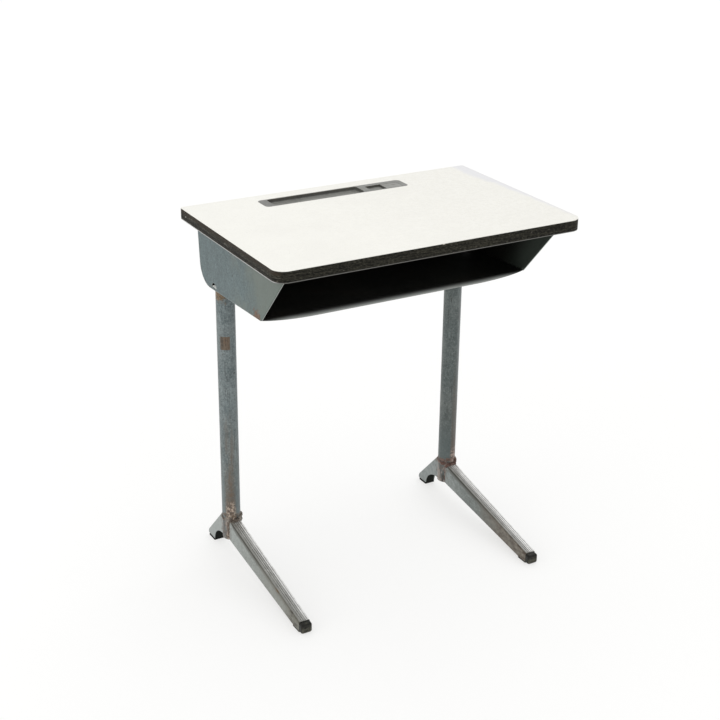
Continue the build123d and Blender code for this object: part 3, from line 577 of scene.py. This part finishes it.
def column_foot(f, low, middle, look):
    """The dirt, bare spatter and rust towards a column's foot."""
    spatter_rust = (BROWN_RUST, (0.16, 0.10, 0.075))
    run_pale = (0.34, 0.29, 0.26)
    run_dark = (0.040, 0.028, 0.020)
    leftwards = f.maths("ARCTAN2", f.less(middle.x, f.x), f.less(middle.y, f.y))
    stripe = f.band(leftwards, *(math.radians(angle) for angle in look["stripe"]))
    drip = f.plus(f.z, f.levels(f.streak, 0.35, 0.68, -70 * MM, 70 * MM))
    low_down = f.levels(drip, low.z + 300 * MM, low.z + 20 * MM)
    f.tint(low_down, look["dirt"], 0.30)
    beside = f.times(f.levels(stripe, 0.6, 0.1), f.levels(f.z, low.z + 200 * MM, low.z + 80 * MM))
    f.tint(beside, look["clean"], 0.45)
    f.tint(f.times(low_down, stripe, f.levels(f.mottle, 0.36, 0.60, 0.45, 0.90)), look["brown"])
    spatter = f.noise(150.0, 6.0, 0.72, seed=75.0)
    above_foot = f.levels(f.z, low.z + 110 * MM, low.z + 66 * MM)
    f.rust(f.times(above_foot, stripe, 0.55), 0.7, spatter_rust)
    spots = f.levels(f.plus(spatter, f.between(above_foot, -0.06, 0.04)), 0.52, 0.58)
    f.tint(f.times(spots, above_foot, stripe), look["bare"], 0.85)
    stub = f.levels(f.z, low.z + 62 * MM, low.z + 34 * MM, 0.0, 0.60)
    f.rust(stub, 0.70, look["stub_rust"])
    ring = f.band(f.z, low.z + 50 * MM, low.z + 62 * MM, 6 * MM)
    f.rust(f.times(ring, 0.7), 0.8, look["ring_rust"])
    runs = f.noise(40.0, 6.0, 0.7, (3.5, 3.5, 0.6), 71.0)
    f.tint(f.times(stub, f.levels(runs, 0.48, 0.57)), run_pale, 1.3)
    f.tint(f.times(stub, f.levels(runs, 0.45, 0.38)), run_dark, 1.3)


# The long scratches on the left column, in mm: height of the middle above the column's foot, distance
# to the right of its middle line, and length.
SCRATCHES = ((391, -11.5, 33), (372, -9.0, 24), (340, -12.0, 20), (326, -6.0, 30), (262, 3.0, 20))
SCRATCH_WIDTH = 0.6 * MM


def left_column_wear(f, low, middle):
    """The left column's bare square, its scratches, and the rust where it enters the box."""
    bare_brown = (0.125, 0.088, 0.058)
    bare_black = (0.045, 0.034, 0.024)
    scratch_black = (0.030, 0.030, 0.028)
    square_rust = ((0.045, 0.030, 0.02), (0.16, 0.095, 0.055))
    box_rust = ((0.060, 0.040, 0.020), (0.22, 0.135, 0.060))
    facing = f.levels(f.y, middle.y - 4 * MM, middle.y - 12 * MM)
    square = f.times(
        f.band(f.x, low.x + 1.5 * MM, middle.x - 1 * MM, 0.9 * MM),
        f.band(f.z, low.z + 431 * MM, low.z + 459 * MM, 0.9 * MM),
        facing,
    )
    f.tint(square, bare_brown, 0.9)
    outer = f.levels(f.x, middle.x - 12 * MM, middle.x - 14 * MM)
    f.tint(f.times(square, outer, f.levels(f.mottle, 0.36, 0.56)), bare_black, 0.8)
    f.rust(f.times(square, f.levels(f.streak, 0.40, 0.60)), 0.6, square_rust)
    wander = f.sway(f.x, f.mottle, 1.1 * MM)
    for height, across, length in SCRATCHES:
        left_x = middle.x + across * MM
        bottom_z = low.z + (height - length / 2) * MM
        line = f.times(
            f.band(wander, left_x, left_x + SCRATCH_WIDTH, 0.35 * MM),
            f.band(f.z, bottom_z, bottom_z + length * MM, 3 * MM),
            facing,
        )
        f.tint(line, scratch_black, 0.85)
    outwards = f.levels(f.x, middle.x + 2 * MM, middle.x - 12 * MM)
    f.rust(f.times(f.levels(f.z, low.z + 520 * MM, low.z + 545 * MM), outwards), 0.85, box_rust)


# toe_reach is how far the dirt runs back from the toe.
FOOT_LOOKS = {
    "left": {
        "enamel": ((0.190, 0.206, 0.192), (0.252, 0.268, 0.252)),
        "seed": 70.0,
        "heel": (0.290, 0.310, 0.300),
        "fresh": (0.310, 0.335, 0.325),
        "yellowed": (0.195, 0.193, 0.166),
        "toe_dirt": (0.112, 0.108, 0.086),
        "toe_reach": 100 * MM,
        "dark_blot": (0.048, 0.043, 0.032),
        "pale_blot": (0.190, 0.186, 0.158),
    },
    "right": {
        "enamel": ((0.127, 0.143, 0.135), (0.178, 0.196, 0.186)),
        "seed": 85.0,
        "heel": (0.170, 0.190, 0.192),
        "fresh": (0.300, 0.325, 0.315),
        "yellowed": (0.140, 0.136, 0.114),
        "toe_dirt": (0.122, 0.100, 0.076),
        "toe_reach": 190 * MM,
        "dark_blot": (0.050, 0.033, 0.022),
        "pale_blot": (0.230, 0.205, 0.172),
    },
}


def foot_paint(side):
    """A foot's enamel: pale blue-grey webs, a dark grimy bend, and brown towards the toe."""
    look = FOOT_LOOKS[side]
    grime_black = (0.052, 0.050, 0.038)
    bend_dirt = (0.070, 0.070, 0.058)
    spot_brown = (0.12, 0.072, 0.032)
    joint_rust = (BROWN_RUST, (0.17, 0.115, 0.085))
    f = Paint("foot_" + side, *look["enamel"], seed=look["seed"])
    low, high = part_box("foot_front_arm_" + side)
    f.tint(f.levels(f.y, high.y - 5 * MM, high.y + 20 * MM), look["heel"], 0.7)
    by_column = f.levels(f.y, high.y - 110 * MM, high.y)
    f.tint(f.times(by_column, f.levels(f.mottle, 0.3, 0.6)), look["fresh"], 0.6)
    wavering = f.sway(f.normal_z, f.mottle, 0.18)
    grime = f.times(f.levels(wavering, 0.08, 0.45), f.levels(f.y, high.y - 2 * MM, high.y - 14 * MM))
    f.tint(f.times(grime, f.levels(f.mottle, 0.20, 0.50, 0.60, 0.95)), grime_black)
    below_top = below_arm_top(f, side, low, high)
    under_bend = f.times(f.levels(below_top, 11 * MM, 4 * MM), f.levels(f.y, high.y, high.y - 25 * MM))
    f.tint(f.times(under_bend, f.levels(f.mottle, 0.25, 0.60, 0.50, 0.90)), bend_dirt)
    towards_toe = f.sway(f.y, f.cloud, 35 * MM)
    f.tint(f.levels(towards_toe, low.y + 220 * MM, low.y + 40 * MM, 0.0, 0.7), look["yellowed"])
    by_toe = f.levels(towards_toe, low.y + look["toe_reach"], low.y + 10 * MM)
    f.tint(by_toe, look["toe_dirt"], 0.8)
    blots = f.noise(105.0, 6.0, 0.75, (1.0, 0.6, 1.0), 91.0)
    f.tint(f.times(by_toe, f.levels(blots, 0.50, 0.57)), look["dark_blot"], 0.85)
    f.tint(f.times(by_toe, f.levels(blots, 0.46, 0.40)), look["pale_blot"], 0.65)
    if side == "left":
        spot_y = low.y + 93 * MM
        spot = f.band(f.y, spot_y - 6 * MM, spot_y + 6 * MM, 5 * MM)
        f.tint(f.times(spot, f.levels(below_top, 4 * MM, 1 * MM)), spot_brown, 0.8)
    joint = f.band(f.y, high.y - 12 * MM, high.y + 45 * MM, 8 * MM)
    f.rust(f.times(joint, 0.42), 0.6, joint_rust)
    bottom_edge = f.levels(f.z, low.z + 3 * MM, low.z - 1 * MM)
    f.rust(f.times(bottom_edge, 0.5), 0.5)
    return f.painted(0.38, 0.50)


def below_arm_top(f, side, low, high):
    """How far a point is below the sloping top of the front arm, a little unevenly."""
    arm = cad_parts["foot_front_arm_" + side].data
    toe_top = max(vertex.co.z for vertex in arm.vertices if vertex.co.y < low.y + 1 * MM)
    slope = (high.z - toe_top) / (high.y - low.y)
    top_line = f.plus(f.times(f.less(f.y, low.y), slope), toe_top)
    return f.sway(f.less(top_line, f.z), f.mottle, 1.5 * MM)


# ================================================================ treads, rubber, welds and screws
TREAD_LOOKS = {
    "left": {"dull_width": 14 * MM, "dirty": (0.305, 0.305, 0.285)},
    "right": {"dull_width": 10 * MM, "dirty": (0.280, 0.278, 0.264)},
}


def tread(side):
    """Ribbed aluminium, bright where shoes polish it, dull and dirty along its left edge."""
    look = TREAD_LOOKS[side]
    bright = ((0.66, 0.655, 0.64), (0.86, 0.86, 0.85))
    streaked = (0.42, 0.41, 0.39)
    rim_dirt = (0.10, 0.095, 0.080)
    groove_dirt = (0.040, 0.038, 0.032)
    end_dirt = (0.14, 0.125, 0.10)
    f = Finish("tread_" + side, metallic=0.25, edge_radius=0.3 * MM)
    low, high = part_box("tread_strip_" + side)
    along = f.noise(30.0, 6.0, 0.7, (6.0, 0.4, 1.0))
    blotch = f.noise(75.0, 6.0, 0.7, seed=3.0)
    f.ground(f.levels(blotch, 0.34, 0.66), *bright)
    f.tint(f.levels(along, 0.52, 0.70, 0.0, 0.35), streaked)
    from_left = f.sway(f.less(f.x, low.x), along, 1.5 * MM)
    dull = f.levels(from_left, look["dull_width"] + 2 * MM, look["dull_width"] - 4 * MM)
    f.tint(f.times(dull, f.levels(blotch, 0.3, 0.6, 0.70, 0.95)), look["dirty"])
    f.tint(f.levels(from_left, 3 * MM, 1 * MM), rim_dirt, 0.5)
    fluted = f.times(f.levels(f.size_of(f.normal_x), 0.04, 0.35), f.levels(f.normal_z, 0.1, 0.3))
    dirt = f.noise(26.0, 5.0, 0.7, (1.0, 0.35, 1.0), 15.0)
    cleaner_toe = f.levels(f.y, low.y + 70 * MM, low.y, 0.0, -0.08)
    filled = f.levels(f.plus(dirt, cleaner_toe), 0.34, 0.54, 0.55, 1.0)
    f.tint(f.times(fluted, filled, f.between(dull, 0.90, 1.0)), groove_dirt)
    by_column = f.times(f.levels(f.y, high.y - 45 * MM, high.y - 8 * MM), f.levels(blotch, 0.36, 0.60))
    f.tint(by_column, end_dirt, 0.6)
    return f.done(f.spread(blotch, 0.34, 0.55), f.plus(along, blotch), 0.08 * MM)


# For each rubber, the node that gives its height, its gloss, and its dark, light and dusty tones.
RUBBER_LOOKS = {
    "toe_rubber": {
        "node": "toe_cap_left",
        "gloss": 0.22,
        "tones": ((0.0045, 0.0045, 0.0036), (0.012, 0.0118, 0.0090), (0.057, 0.056, 0.043)),
    },
    "heel_rubber": {
        "node": "rear_pad_left",
        "gloss": 0.08,
        # Far darker than plain rubber: painted shade inside the rear arm's arch.
        "tones": ((0.0015, 0.0020, 0.0015), (0.0035, 0.0045, 0.0035), (0.0070, 0.0085, 0.0065)),
    },
}


def rubber(name):
    """Moulded black rubber, rubbed grey and with a painted highlight at its edges, dusty low on the face
    that points forwards, and with painted shade high in that face's dish.
    """
    look = RUBBER_LOOKS[name]
    dark, light, dusty = look["tones"]
    f = Finish(name, gloss=look["gloss"], edge_radius=1.2 * MM)
    low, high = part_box(look["node"])
    tall = high.z - low.z
    grain = f.noise(520.0, 5.0, 0.7)
    dust = f.noise(130.0, 6.0, 0.75, seed=4.0)
    f.ground(f.levels(grain, 0.3, 0.7), dark, light)
    f.tint(f.levels(dust, 0.48, 0.66, 0.0, 0.75), dusty)
    wavering = f.sway(f.z, dust, 3 * MM)
    low_down = f.levels(wavering, low.z + 0.75 * tall, low.z + 0.35 * tall)
    forwards = f.levels(f.normal_y, -0.3, -0.8)
    patchy = f.levels(dust, 0.36, 0.58, 0.35, 0.90)
    f.tint(f.times(low_down, forwards, patchy), toned(dusty, 1.5))
    # Painted shade: darker in the upper part of the face's worn dish.
    dish_shade = f.times(f.levels(f.y, low.y + 0.3 * MM, low.y + 0.8 * DISH_DEPTH), forwards)
    f.tint(f.times(dish_shade, f.levels(wavering, low.z + 0.38 * tall, low.z + 0.58 * tall)), dark)
    # The edges are pale: rubbed grey, and a painted highlight.
    f.tint(f.times(f.edges(), f.levels(dust, 0.42, 0.58)), toned(dusty, 2.6), 0.8)
    return f.done(f.levels(dust, 0.35, 0.65, 0.30, 0.62), f.plus(grain, f.times(dust, 2.0)), 0.35 * MM)


WELD_TONES = {
    "left": ((0.045, 0.036, 0.028), (0.145, 0.115, 0.090), (0.34, 0.31, 0.275)),
    "right": ((0.045, 0.024, 0.018), (0.145, 0.070, 0.052), (0.27, 0.215, 0.185)),
}


def weld(side):
    """A bare weld bead that has rusted."""
    dark, light, pale = WELD_TONES[side]
    f = Finish("weld_" + side, edge_radius=0.3 * MM)
    coarse = f.noise(190.0, 7.0, 0.78)
    patch = f.noise(75.0, 5.0, 0.68, seed=7.0)
    f.ground(f.levels(coarse, 0.38, 0.60), dark, light)
    f.tint(f.levels(patch, 0.47, 0.56, 0.0, 0.85), pale)
    f.tint(f.levels(f.noise(300.0, 5.0, 0.7, seed=17.0), 0.54, 0.62, 0.0, 0.7), dark)
    return f.done(f.spread(coarse, 0.60, 0.85), coarse, 0.5 * MM)


def zinc():
    """Zinc-plated screws."""
    grey = (0.42, 0.42, 0.40)
    pale_grey = (0.62, 0.62, 0.61)
    f = Finish("zinc", metallic=0.9, edge_radius=0.2 * MM)
    spangle = f.cells(500.0)
    f.ground(f.levels(spangle, 0.0, 0.8), grey, pale_grey)
    return f.done(f.between(spangle, 0.35, 0.5), spangle, 0.05 * MM)


# ================================================================ dressing the CAD nodes
HOLLOW_RISE = 15 * MM  # the middle of the book box's hollow is this far above the middle of its wrap
LIP_THICKNESS = 5 * MM
FACES_HOLLOW = 0.12  # a face looks into the hollow where its normal leans at least this far that way
FACES_SIDEWAYS = 0.9


def dress(node, *finishes):
    """Gives a CAD node its finishes, one for each material index."""
    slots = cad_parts[node].data.materials
    slots.clear()
    for finish in finishes:
        slots.append(finish)


def dress_box(nodes, outside, inside):
    """The box's sheets take the painted-shade finish on the faces that look into it, and on the lip."""
    low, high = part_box("box_wrap")
    hollow = Vector((0.0, (low.y + high.y) / 2, (low.z + high.z) / 2 + HOLLOW_RISE))
    for node in nodes:
        dress(node, outside, inside)
        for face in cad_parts[node].data.polygons:
            looks_in = (hollow - face.center).normalized().dot(face.normal) > FACES_HOLLOW
            on_lip = face.center.y < low.y + LIP_THICKNESS
            on_sheet = node == "box_wrap" or abs(face.normal.x) > FACES_SIDEWAYS
            face.material_index = int((looks_in or on_lip) and on_sheet)


# ================================================================ new pieces
def in_scene(name, data):
    """A new object in the scene."""
    made = bpy.data.objects.new(name, data)
    bpy.context.scene.collection.objects.link(made)
    return made


def riding(name, mesh, finish):
    """A new piece in one finish, which rides on the desk."""
    mesh.materials.append(finish)
    piece = in_scene(name, mesh)
    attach(piece, "desk")
    return piece


LUMP_SCALE = 260.0  # lumps to the metre
LUMP_FADE, LUMP_LACUNARITY, LUMP_OCTAVES = 1.0, 2.0, 3
RIPPLE_SIZE, RIPPLE_TURN = 0.10, 1.9  # the share of the bead, and radians from one station to the next
RIPPLE_SCALE, RIPPLE_WANDER = 120.0, 2.0


class Bead:
    """A weld bead: an oval section, swept along stations and made lumpy."""

    def __init__(self, width, height, lump, seed, closed=False, sides=20):
        self.width, self.height, self.lump = width, height, lump
        self.shift = Vector((seed, 0, 0))
        self.closed = closed
        self.sides = sides
        self.stations = []

    def station(self, spot, out, up, size):
        """The next place on the bead, with the axes of its section's width and height."""
        self.stations.append((spot, out, up, size))

    def corner(self, index, step):
        """One corner of the section at a station."""
        spot, out, up, size = self.stations[index]
        angle = 2 * math.pi * step / self.sides
        offset = out * math.cos(angle) * self.width + up * math.sin(angle) * self.height
        place = spot + offset
        swell = noise.fractal(place * LUMP_SCALE + self.shift, LUMP_FADE, LUMP_LACUNARITY, LUMP_OCTAVES)
        phase = index * RIPPLE_TURN + RIPPLE_WANDER * noise.noise(place * RIPPLE_SCALE)
        ripple = RIPPLE_SIZE * math.sin(phase)
        return spot + offset * size * (1.0 + self.lump * swell + ripple)

    def faces(self):
        rings = len(self.stations)
        faces = []
        for ring in range(rings if self.closed else rings - 1):
            here = ring * self.sides
            there = (ring + 1) % rings * self.sides
            for step in range(self.sides):
                beside = (step + 1) % self.sides
                faces.append((here + step, here + beside, there + beside, there + step))
        if not self.closed:
            last = (rings - 1) * self.sides
            faces.append(tuple(reversed(range(self.sides))))
            faces.append(tuple(last + step for step in range(self.sides)))
        return faces

    def build(self, name, finish):
        rings, steps = range(len(self.stations)), range(self.sides)
        corners = [self.corner(index, step) for index in rings for step in steps]
        mesh = bpy.data.meshes.new(name)
        mesh.from_pydata(corners, [], self.faces())
        shape = bmesh.new()
        shape.from_mesh(mesh)
        bmesh.ops.recalc_face_normals(shape, faces=shape.faces)
        shape.to_mesh(mesh)
        shape.free()
        for face in mesh.polygons:
            face.use_smooth = True
        piece = riding(name, mesh, finish)
        return piece


def column_round(side):
    """A column's middle and its radius."""
    low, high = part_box("column_" + side)
    return (low + high) / 2, (high.x - low.x) / 2


COLLAR_STEPS = 180
COLLAR_WIDTH, COLLAR_HEIGHT, COLLAR_LUMP = 2.8 * MM, 5.2 * MM, 0.95
COLLAR_DROP = 2.0 * MM  # below the middle of the CAD weld
COLLAR_MARGIN = 3 * MM  # kept clear at the top and bottom of the CAD weld
COLLAR_GAP = 0.2 * MM
COLLAR_WANDER, COLLAR_WANDER_SCALE = 1.6 * MM, 2.5
COLLAR_SIZE, COLLAR_FATTER = 0.80, 0.30
COLLAR_FAT_SIDE = math.radians(-35.0)
COLLAR_SEEDS = {"left": (9.0, 1.0), "right": (3.0, 4.0)}  # of its wander and of its lumps


def collar_weld(side, finish):
    """The thick bead round the column, lying on both arms, fattest where the welder stopped."""
    node = "foot_weld_" + side
    low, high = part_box(node)
    middle, radius = column_round(side)
    centre = Vector((middle.x, middle.y, (low.z + high.z) / 2 - COLLAR_DROP))
    rise = (high.z - low.z) / 2 - COLLAR_MARGIN
    wander_seed, lump_seed = COLLAR_SEEDS[side]
    bead = Bead(COLLAR_WIDTH, COLLAR_HEIGHT, COLLAR_LUMP, lump_seed, closed=True)
    for index in range(COLLAR_STEPS):
        turn = 2 * math.pi * index / COLLAR_STEPS
        out = Vector((math.cos(turn), math.sin(turn), 0.0))
        shift = Vector((wander_seed, 0.0, 0.0))
        wander = COLLAR_WANDER * noise.noise(out * COLLAR_WANDER_SCALE + shift)
        lift = Vector((0, 0, rise * math.sin(turn) + wander))
        size = COLLAR_SIZE + COLLAR_FATTER * math.cos(turn - COLLAR_FAT_SIDE)
        bead.station(centre + out * (radius + COLLAR_GAP) + lift, out, UP, size)
    piece = bead.build("weld_collar_" + side, finish)
    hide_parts(node)


SEAM_STEPS = 40
SEAM_SIDES = 12
SEAM_WIDTH, SEAM_HEIGHT, SEAM_LUMP = 0.9 * MM, 1.5 * MM, 0.45
SEAM_START = 2.5 * MM  # above the column's foot
SEAM_OVERLAP = 2 * MM  # into the collar
SEAM_SPLAY = 0.25
SEAM_SEED = 11.0
SEAM_END_SIZE, SEAM_TAPER = 0.35, 4.0


def seam_welds(side, finish):
    """The thin beads down the column where the four webs meet it."""
    middle, radius = column_round(side)
    arm_low, arm_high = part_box("foot_front_arm_" + side)
    half = (arm_high.x - arm_low.x) / 2
    reach = math.sqrt(radius ** 2 - half ** 2)
    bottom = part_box("column_" + side)[0].z + SEAM_START
    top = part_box("foot_weld_" + side)[0].z + SEAM_OVERLAP
    for along, word in ((-1, "front"), (1, "rear")):
        for across, hand in ((-1, "outer"), (1, "inner")):
            corner = Vector((middle.x + across * half, middle.y + along * reach, 0.0))
            out = Vector((across * 1.0, along * SEAM_SPLAY, 0.0)).normalized()
            beside = Vector((-out.y, out.x, 0.0))
            bead = Bead(SEAM_WIDTH, SEAM_HEIGHT, SEAM_LUMP, SEAM_SEED + along + across, sides=SEAM_SIDES)
            for step in range(SEAM_STEPS + 1):
                spot = corner + Vector((0, 0, bottom + (top - bottom) * step / SEAM_STEPS))
                from_end = min(step, SEAM_STEPS - step) / SEAM_STEPS
                bead.station(spot, out, beside, min(1.0, SEAM_TAPER * from_end + SEAM_END_SIZE))
            bead.build(f"weld_seam_{word}_{hand}_{side}", finish)


ARM_STEPS = 40
ARM_WIDTH, ARM_HEIGHT, ARM_LUMP = 2.9 * MM, 3.3 * MM, 0.9
ARM_RISE = 0.2 * MM
ARM_REACH = 4.4 * MM  # out from the column's surface
ARM_START, ARM_SWEEP = -34.0, 74.0
ARM_SEED = 21.0
ARM_THIN, ARM_FATTER = 0.75, 0.45
ARM_END_SIZE, ARM_TAPER = 0.4, 5.0


def arm_bead(side, finish):
    """The short lumpy bead across the front arm's top, just in front of the collar."""
    middle, radius = column_round(side)
    centre = Vector((middle.x, middle.y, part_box("foot_front_arm_" + side)[1].z + ARM_RISE))
    inner = 1.0 if side == "left" else -1.0
    bead = Bead(ARM_WIDTH, ARM_HEIGHT, ARM_LUMP, ARM_SEED)
    for index in range(ARM_STEPS):
        share = index / (ARM_STEPS - 1)
        turn = math.radians(ARM_START + ARM_SWEEP * share)
        out = Vector((inner * math.sin(turn), -math.cos(turn), 0.0))
        taper = min(1.0, ARM_TAPER * min(share, 1.0 - share) + ARM_END_SIZE)
        size = (ARM_THIN + ARM_FATTER * share) * taper
        bead.station(centre + out * (radius + ARM_REACH), out, UP, size)
    bead.build("weld_arm_" + side, finish)


WELDED_APART = 0.001 * MM  # vertices nearer than this become one
NOSE_FACING = 0.99
NOSE_THICKNESS = 0.1 * MM


def sunk(shape, faces, centre, shrink, depth):
    """The faces that follow when a region is extruded, shrunk towards centre and pushed back by depth."""
    made = bmesh.ops.extrude_face_region(shape, geom=faces)
    bmesh.ops.delete(shape, geom=faces, context="FACES")
    following = [item for item in made["geom"] if isinstance(item, bmesh.types.BMFace)]
    for vertex in {vertex for face in following for vertex in face.verts}:
        vertex.co = centre + (vertex.co - centre) * shrink
        vertex.co.y += depth
    return following


def worn_toe_cap(side, finish):
    """The CAD toe cap with a shallow dish in the face of its nose."""
    node = "toe_cap_" + side
    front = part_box(node)[0].y
    shape = bmesh.new()
    shape.from_mesh(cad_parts[node].data)
    bmesh.ops.remove_doubles(shape, verts=shape.verts, dist=WELDED_APART)
    forwards = [face for face in shape.faces if face.normal.y < -NOSE_FACING]
    nose = [face for face in forwards if face.calc_center_median().y < front + NOSE_THICKNESS]
    outline = {vertex.co.to_tuple() for face in nose for vertex in face.verts}
    centre = sum((Vector(place) for place in outline), Vector()) / len(outline)
    centre.y = front
    rim = sunk(shape, nose, centre, DISH_RIM_SHRINK, 0.0)
    sunk(shape, rim, centre, DISH_FLOOR_SHRINK, DISH_DEPTH)
    bmesh.ops.recalc_face_normals(shape, faces=shape.faces)
    mesh = bpy.data.meshes.new("worn_" + node)
    shape.to_mesh(mesh)
    shape.free()
    piece = riding("worn_" + node, mesh, finish)
    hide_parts(node)


# ================================================================ the finished desk
def finish_top():
    dress("top_core", board())
    dress("top_laminate", laminate())
    dress("backing_laminate", backing())
    dress("edge_band", lipping())
    dress("pen_tray", plastic("tray_plastic"))
    dress("inkwell_cover", plastic("cover_plastic"))


def finish_box_and_screws():
    dress_box(("box_wrap", "box_side_left", "box_side_right"), box_outside(), box_inside())
    zinc_plate = zinc()
    dress("box_fixing_screws", zinc_plate)
    dress("column_plate_screws", zinc_plate)


def finish_leg(side, toe_rubber, heel_rubber):
    """A column with its plate, foot, tread, rubber and welds."""
    enamel = column_paint(side)
    foot_enamel = foot_paint(side)
    rust = weld(side)
    dress("column_" + side, enamel)
    dress("column_plate_" + side, enamel)
    dress("foot_front_arm_" + side, foot_enamel)
    dress("foot_rear_arm_" + side, foot_enamel)
    dress("tread_strip_" + side, tread(side))
    dress("rear_pad_" + side, heel_rubber)
    worn_toe_cap(side, toe_rubber)
    collar_weld(side, rust)
    seam_welds(side, rust)
    arm_bead(side, rust)


finish_top()
finish_box_and_screws()
both_rubbers = (rubber("toe_rubber"), rubber("heel_rubber"))
for side in SIDES:
    finish_leg(side, *both_rubbers)


# ================================================================ the studio
FLOOR_HALF = 30.0
FLOOR_TONES = ((0.315, 0.320, 0.325), (0.330, 0.335, 0.340))
FLOOR_GLOW = 0.625
FLOOR_GLOW_COLOUR = (1.0, 0.992, 0.975, 1.0)
WORLD_STRENGTH = 0.905
WORLD_COLOUR = (1.0, 0.997, 0.990, 1.0)
SUN_STRENGTH = 0.62
SUN_ANGLE = 70.0
SUN_ELEVATION = 62.0
SUN_AZIMUTH = 35.0
SOFTBOX_PLACE = Vector((-3.2, -0.2, 0.95))
SOFTBOX_SIZE = 1.8
SOFTBOX_POWER = 18.0


def studio_floor():
    """A pale sweep that glows a little, so that the shadows on it stay faint."""
    f = Finish("studio_floor")
    cloud = f.noise(0.9, 4.0, 0.5)
    f.ground(f.levels(cloud, 0.3, 0.7), *FLOOR_TONES)
    f.shader.inputs["Emission Color"].default_value = FLOOR_GLOW_COLOUR
    f.shader.inputs["Emission Strength"].default_value = FLOOR_GLOW
    return f.done(f.spread(cloud, 0.75, 0.85))


def add_floor():
    mesh = bpy.data.meshes.new("floor")
    corners = [(x * FLOOR_HALF, y * FLOOR_HALF, 0.0) for x, y in ((-1, -1), (1, -1), (1, 1), (-1, 1))]
    mesh.from_pydata(corners, [], [(0, 1, 2, 3)])
    mesh.materials.append(studio_floor())
    floor = in_scene("floor", mesh)


def add_world():
    world = bpy.data.worlds.new("studio")
    world.use_nodes = True
    background = world.node_tree.nodes["Background"]
    background.inputs["Color"].default_value = WORLD_COLOUR
    background.inputs["Strength"].default_value = WORLD_STRENGTH
    bpy.context.scene.world = world
    bpy.context.scene.view_settings.view_transform = "Standard"


def aim(light, backwards):
    """Turns a light to shine away from the direction backwards."""
    light.rotation_mode = "QUATERNION"
    light.rotation_quaternion = backwards.to_track_quat("Z", "Y")


def add_sun():
    """A very broad sun, high up on the right and towards the back."""
    azimuth, elevation = math.radians(SUN_AZIMUTH), math.radians(SUN_ELEVATION)
    towards_sun = Vector((
        math.cos(azimuth) * math.cos(elevation),
        math.sin(azimuth) * math.cos(elevation),
        math.sin(elevation),
    ))
    data = bpy.data.lights.new("overhead", "SUN")
    data.energy = SUN_STRENGTH
    data.angle = math.radians(SUN_ANGLE)
    aim(in_scene("overhead", data), towards_sun)


def add_softbox():
    """A softbox on the left, aimed at the middle of the desk."""
    data = bpy.data.lights.new("softbox", "AREA")
    data.size = SOFTBOX_SIZE
    data.energy = SOFTBOX_POWER
    softbox = in_scene("softbox", data)
    softbox.location = SOFTBOX_PLACE
    softbox.visible_camera = False
    aim(softbox, SOFTBOX_PLACE - (CAD_BOX[0] + CAD_BOX[1]) / 2)


# ================================================================ the camera
CAMERA_PLACE = Vector((-1.3371, -2.2825, 1.5827))
CAMERA_AZIMUTH = -29.734
CAMERA_ELEVATION = 23.411
CAMERA_ROLL = 0.662
CAMERA_LENS = 71.707
CAMERA_SENSOR = 36.0


def add_camera():
    """The photograph's view: the camera looks along the opposite of backwards."""
    angles = (CAMERA_AZIMUTH, CAMERA_ELEVATION, CAMERA_ROLL)
    azimuth, elevation, roll = (math.radians(angle) for angle in angles)
    backwards = Vector((
        math.sin(azimuth) * math.cos(elevation),
        -math.cos(azimuth) * math.cos(elevation),
        math.sin(elevation),
    ))
    level = UP.cross(backwards).normalized()
    upright = backwards.cross(level)
    sideways = level * math.cos(roll) + upright * math.sin(roll)
    upwards = upright * math.cos(roll) - level * math.sin(roll)
    turned = Matrix((sideways, upwards, backwards)).transposed().to_4x4()
    data = bpy.data.cameras.new("camera")
    data.sensor_width = CAMERA_SENSOR
    data.lens = CAMERA_LENS
    camera = in_scene("camera", data)
    camera.matrix_world = Matrix.Translation(CAMERA_PLACE) @ turned
    bpy.context.scene.camera = camera


add_floor()
add_world()
add_sun()
add_softbox()
add_camera()
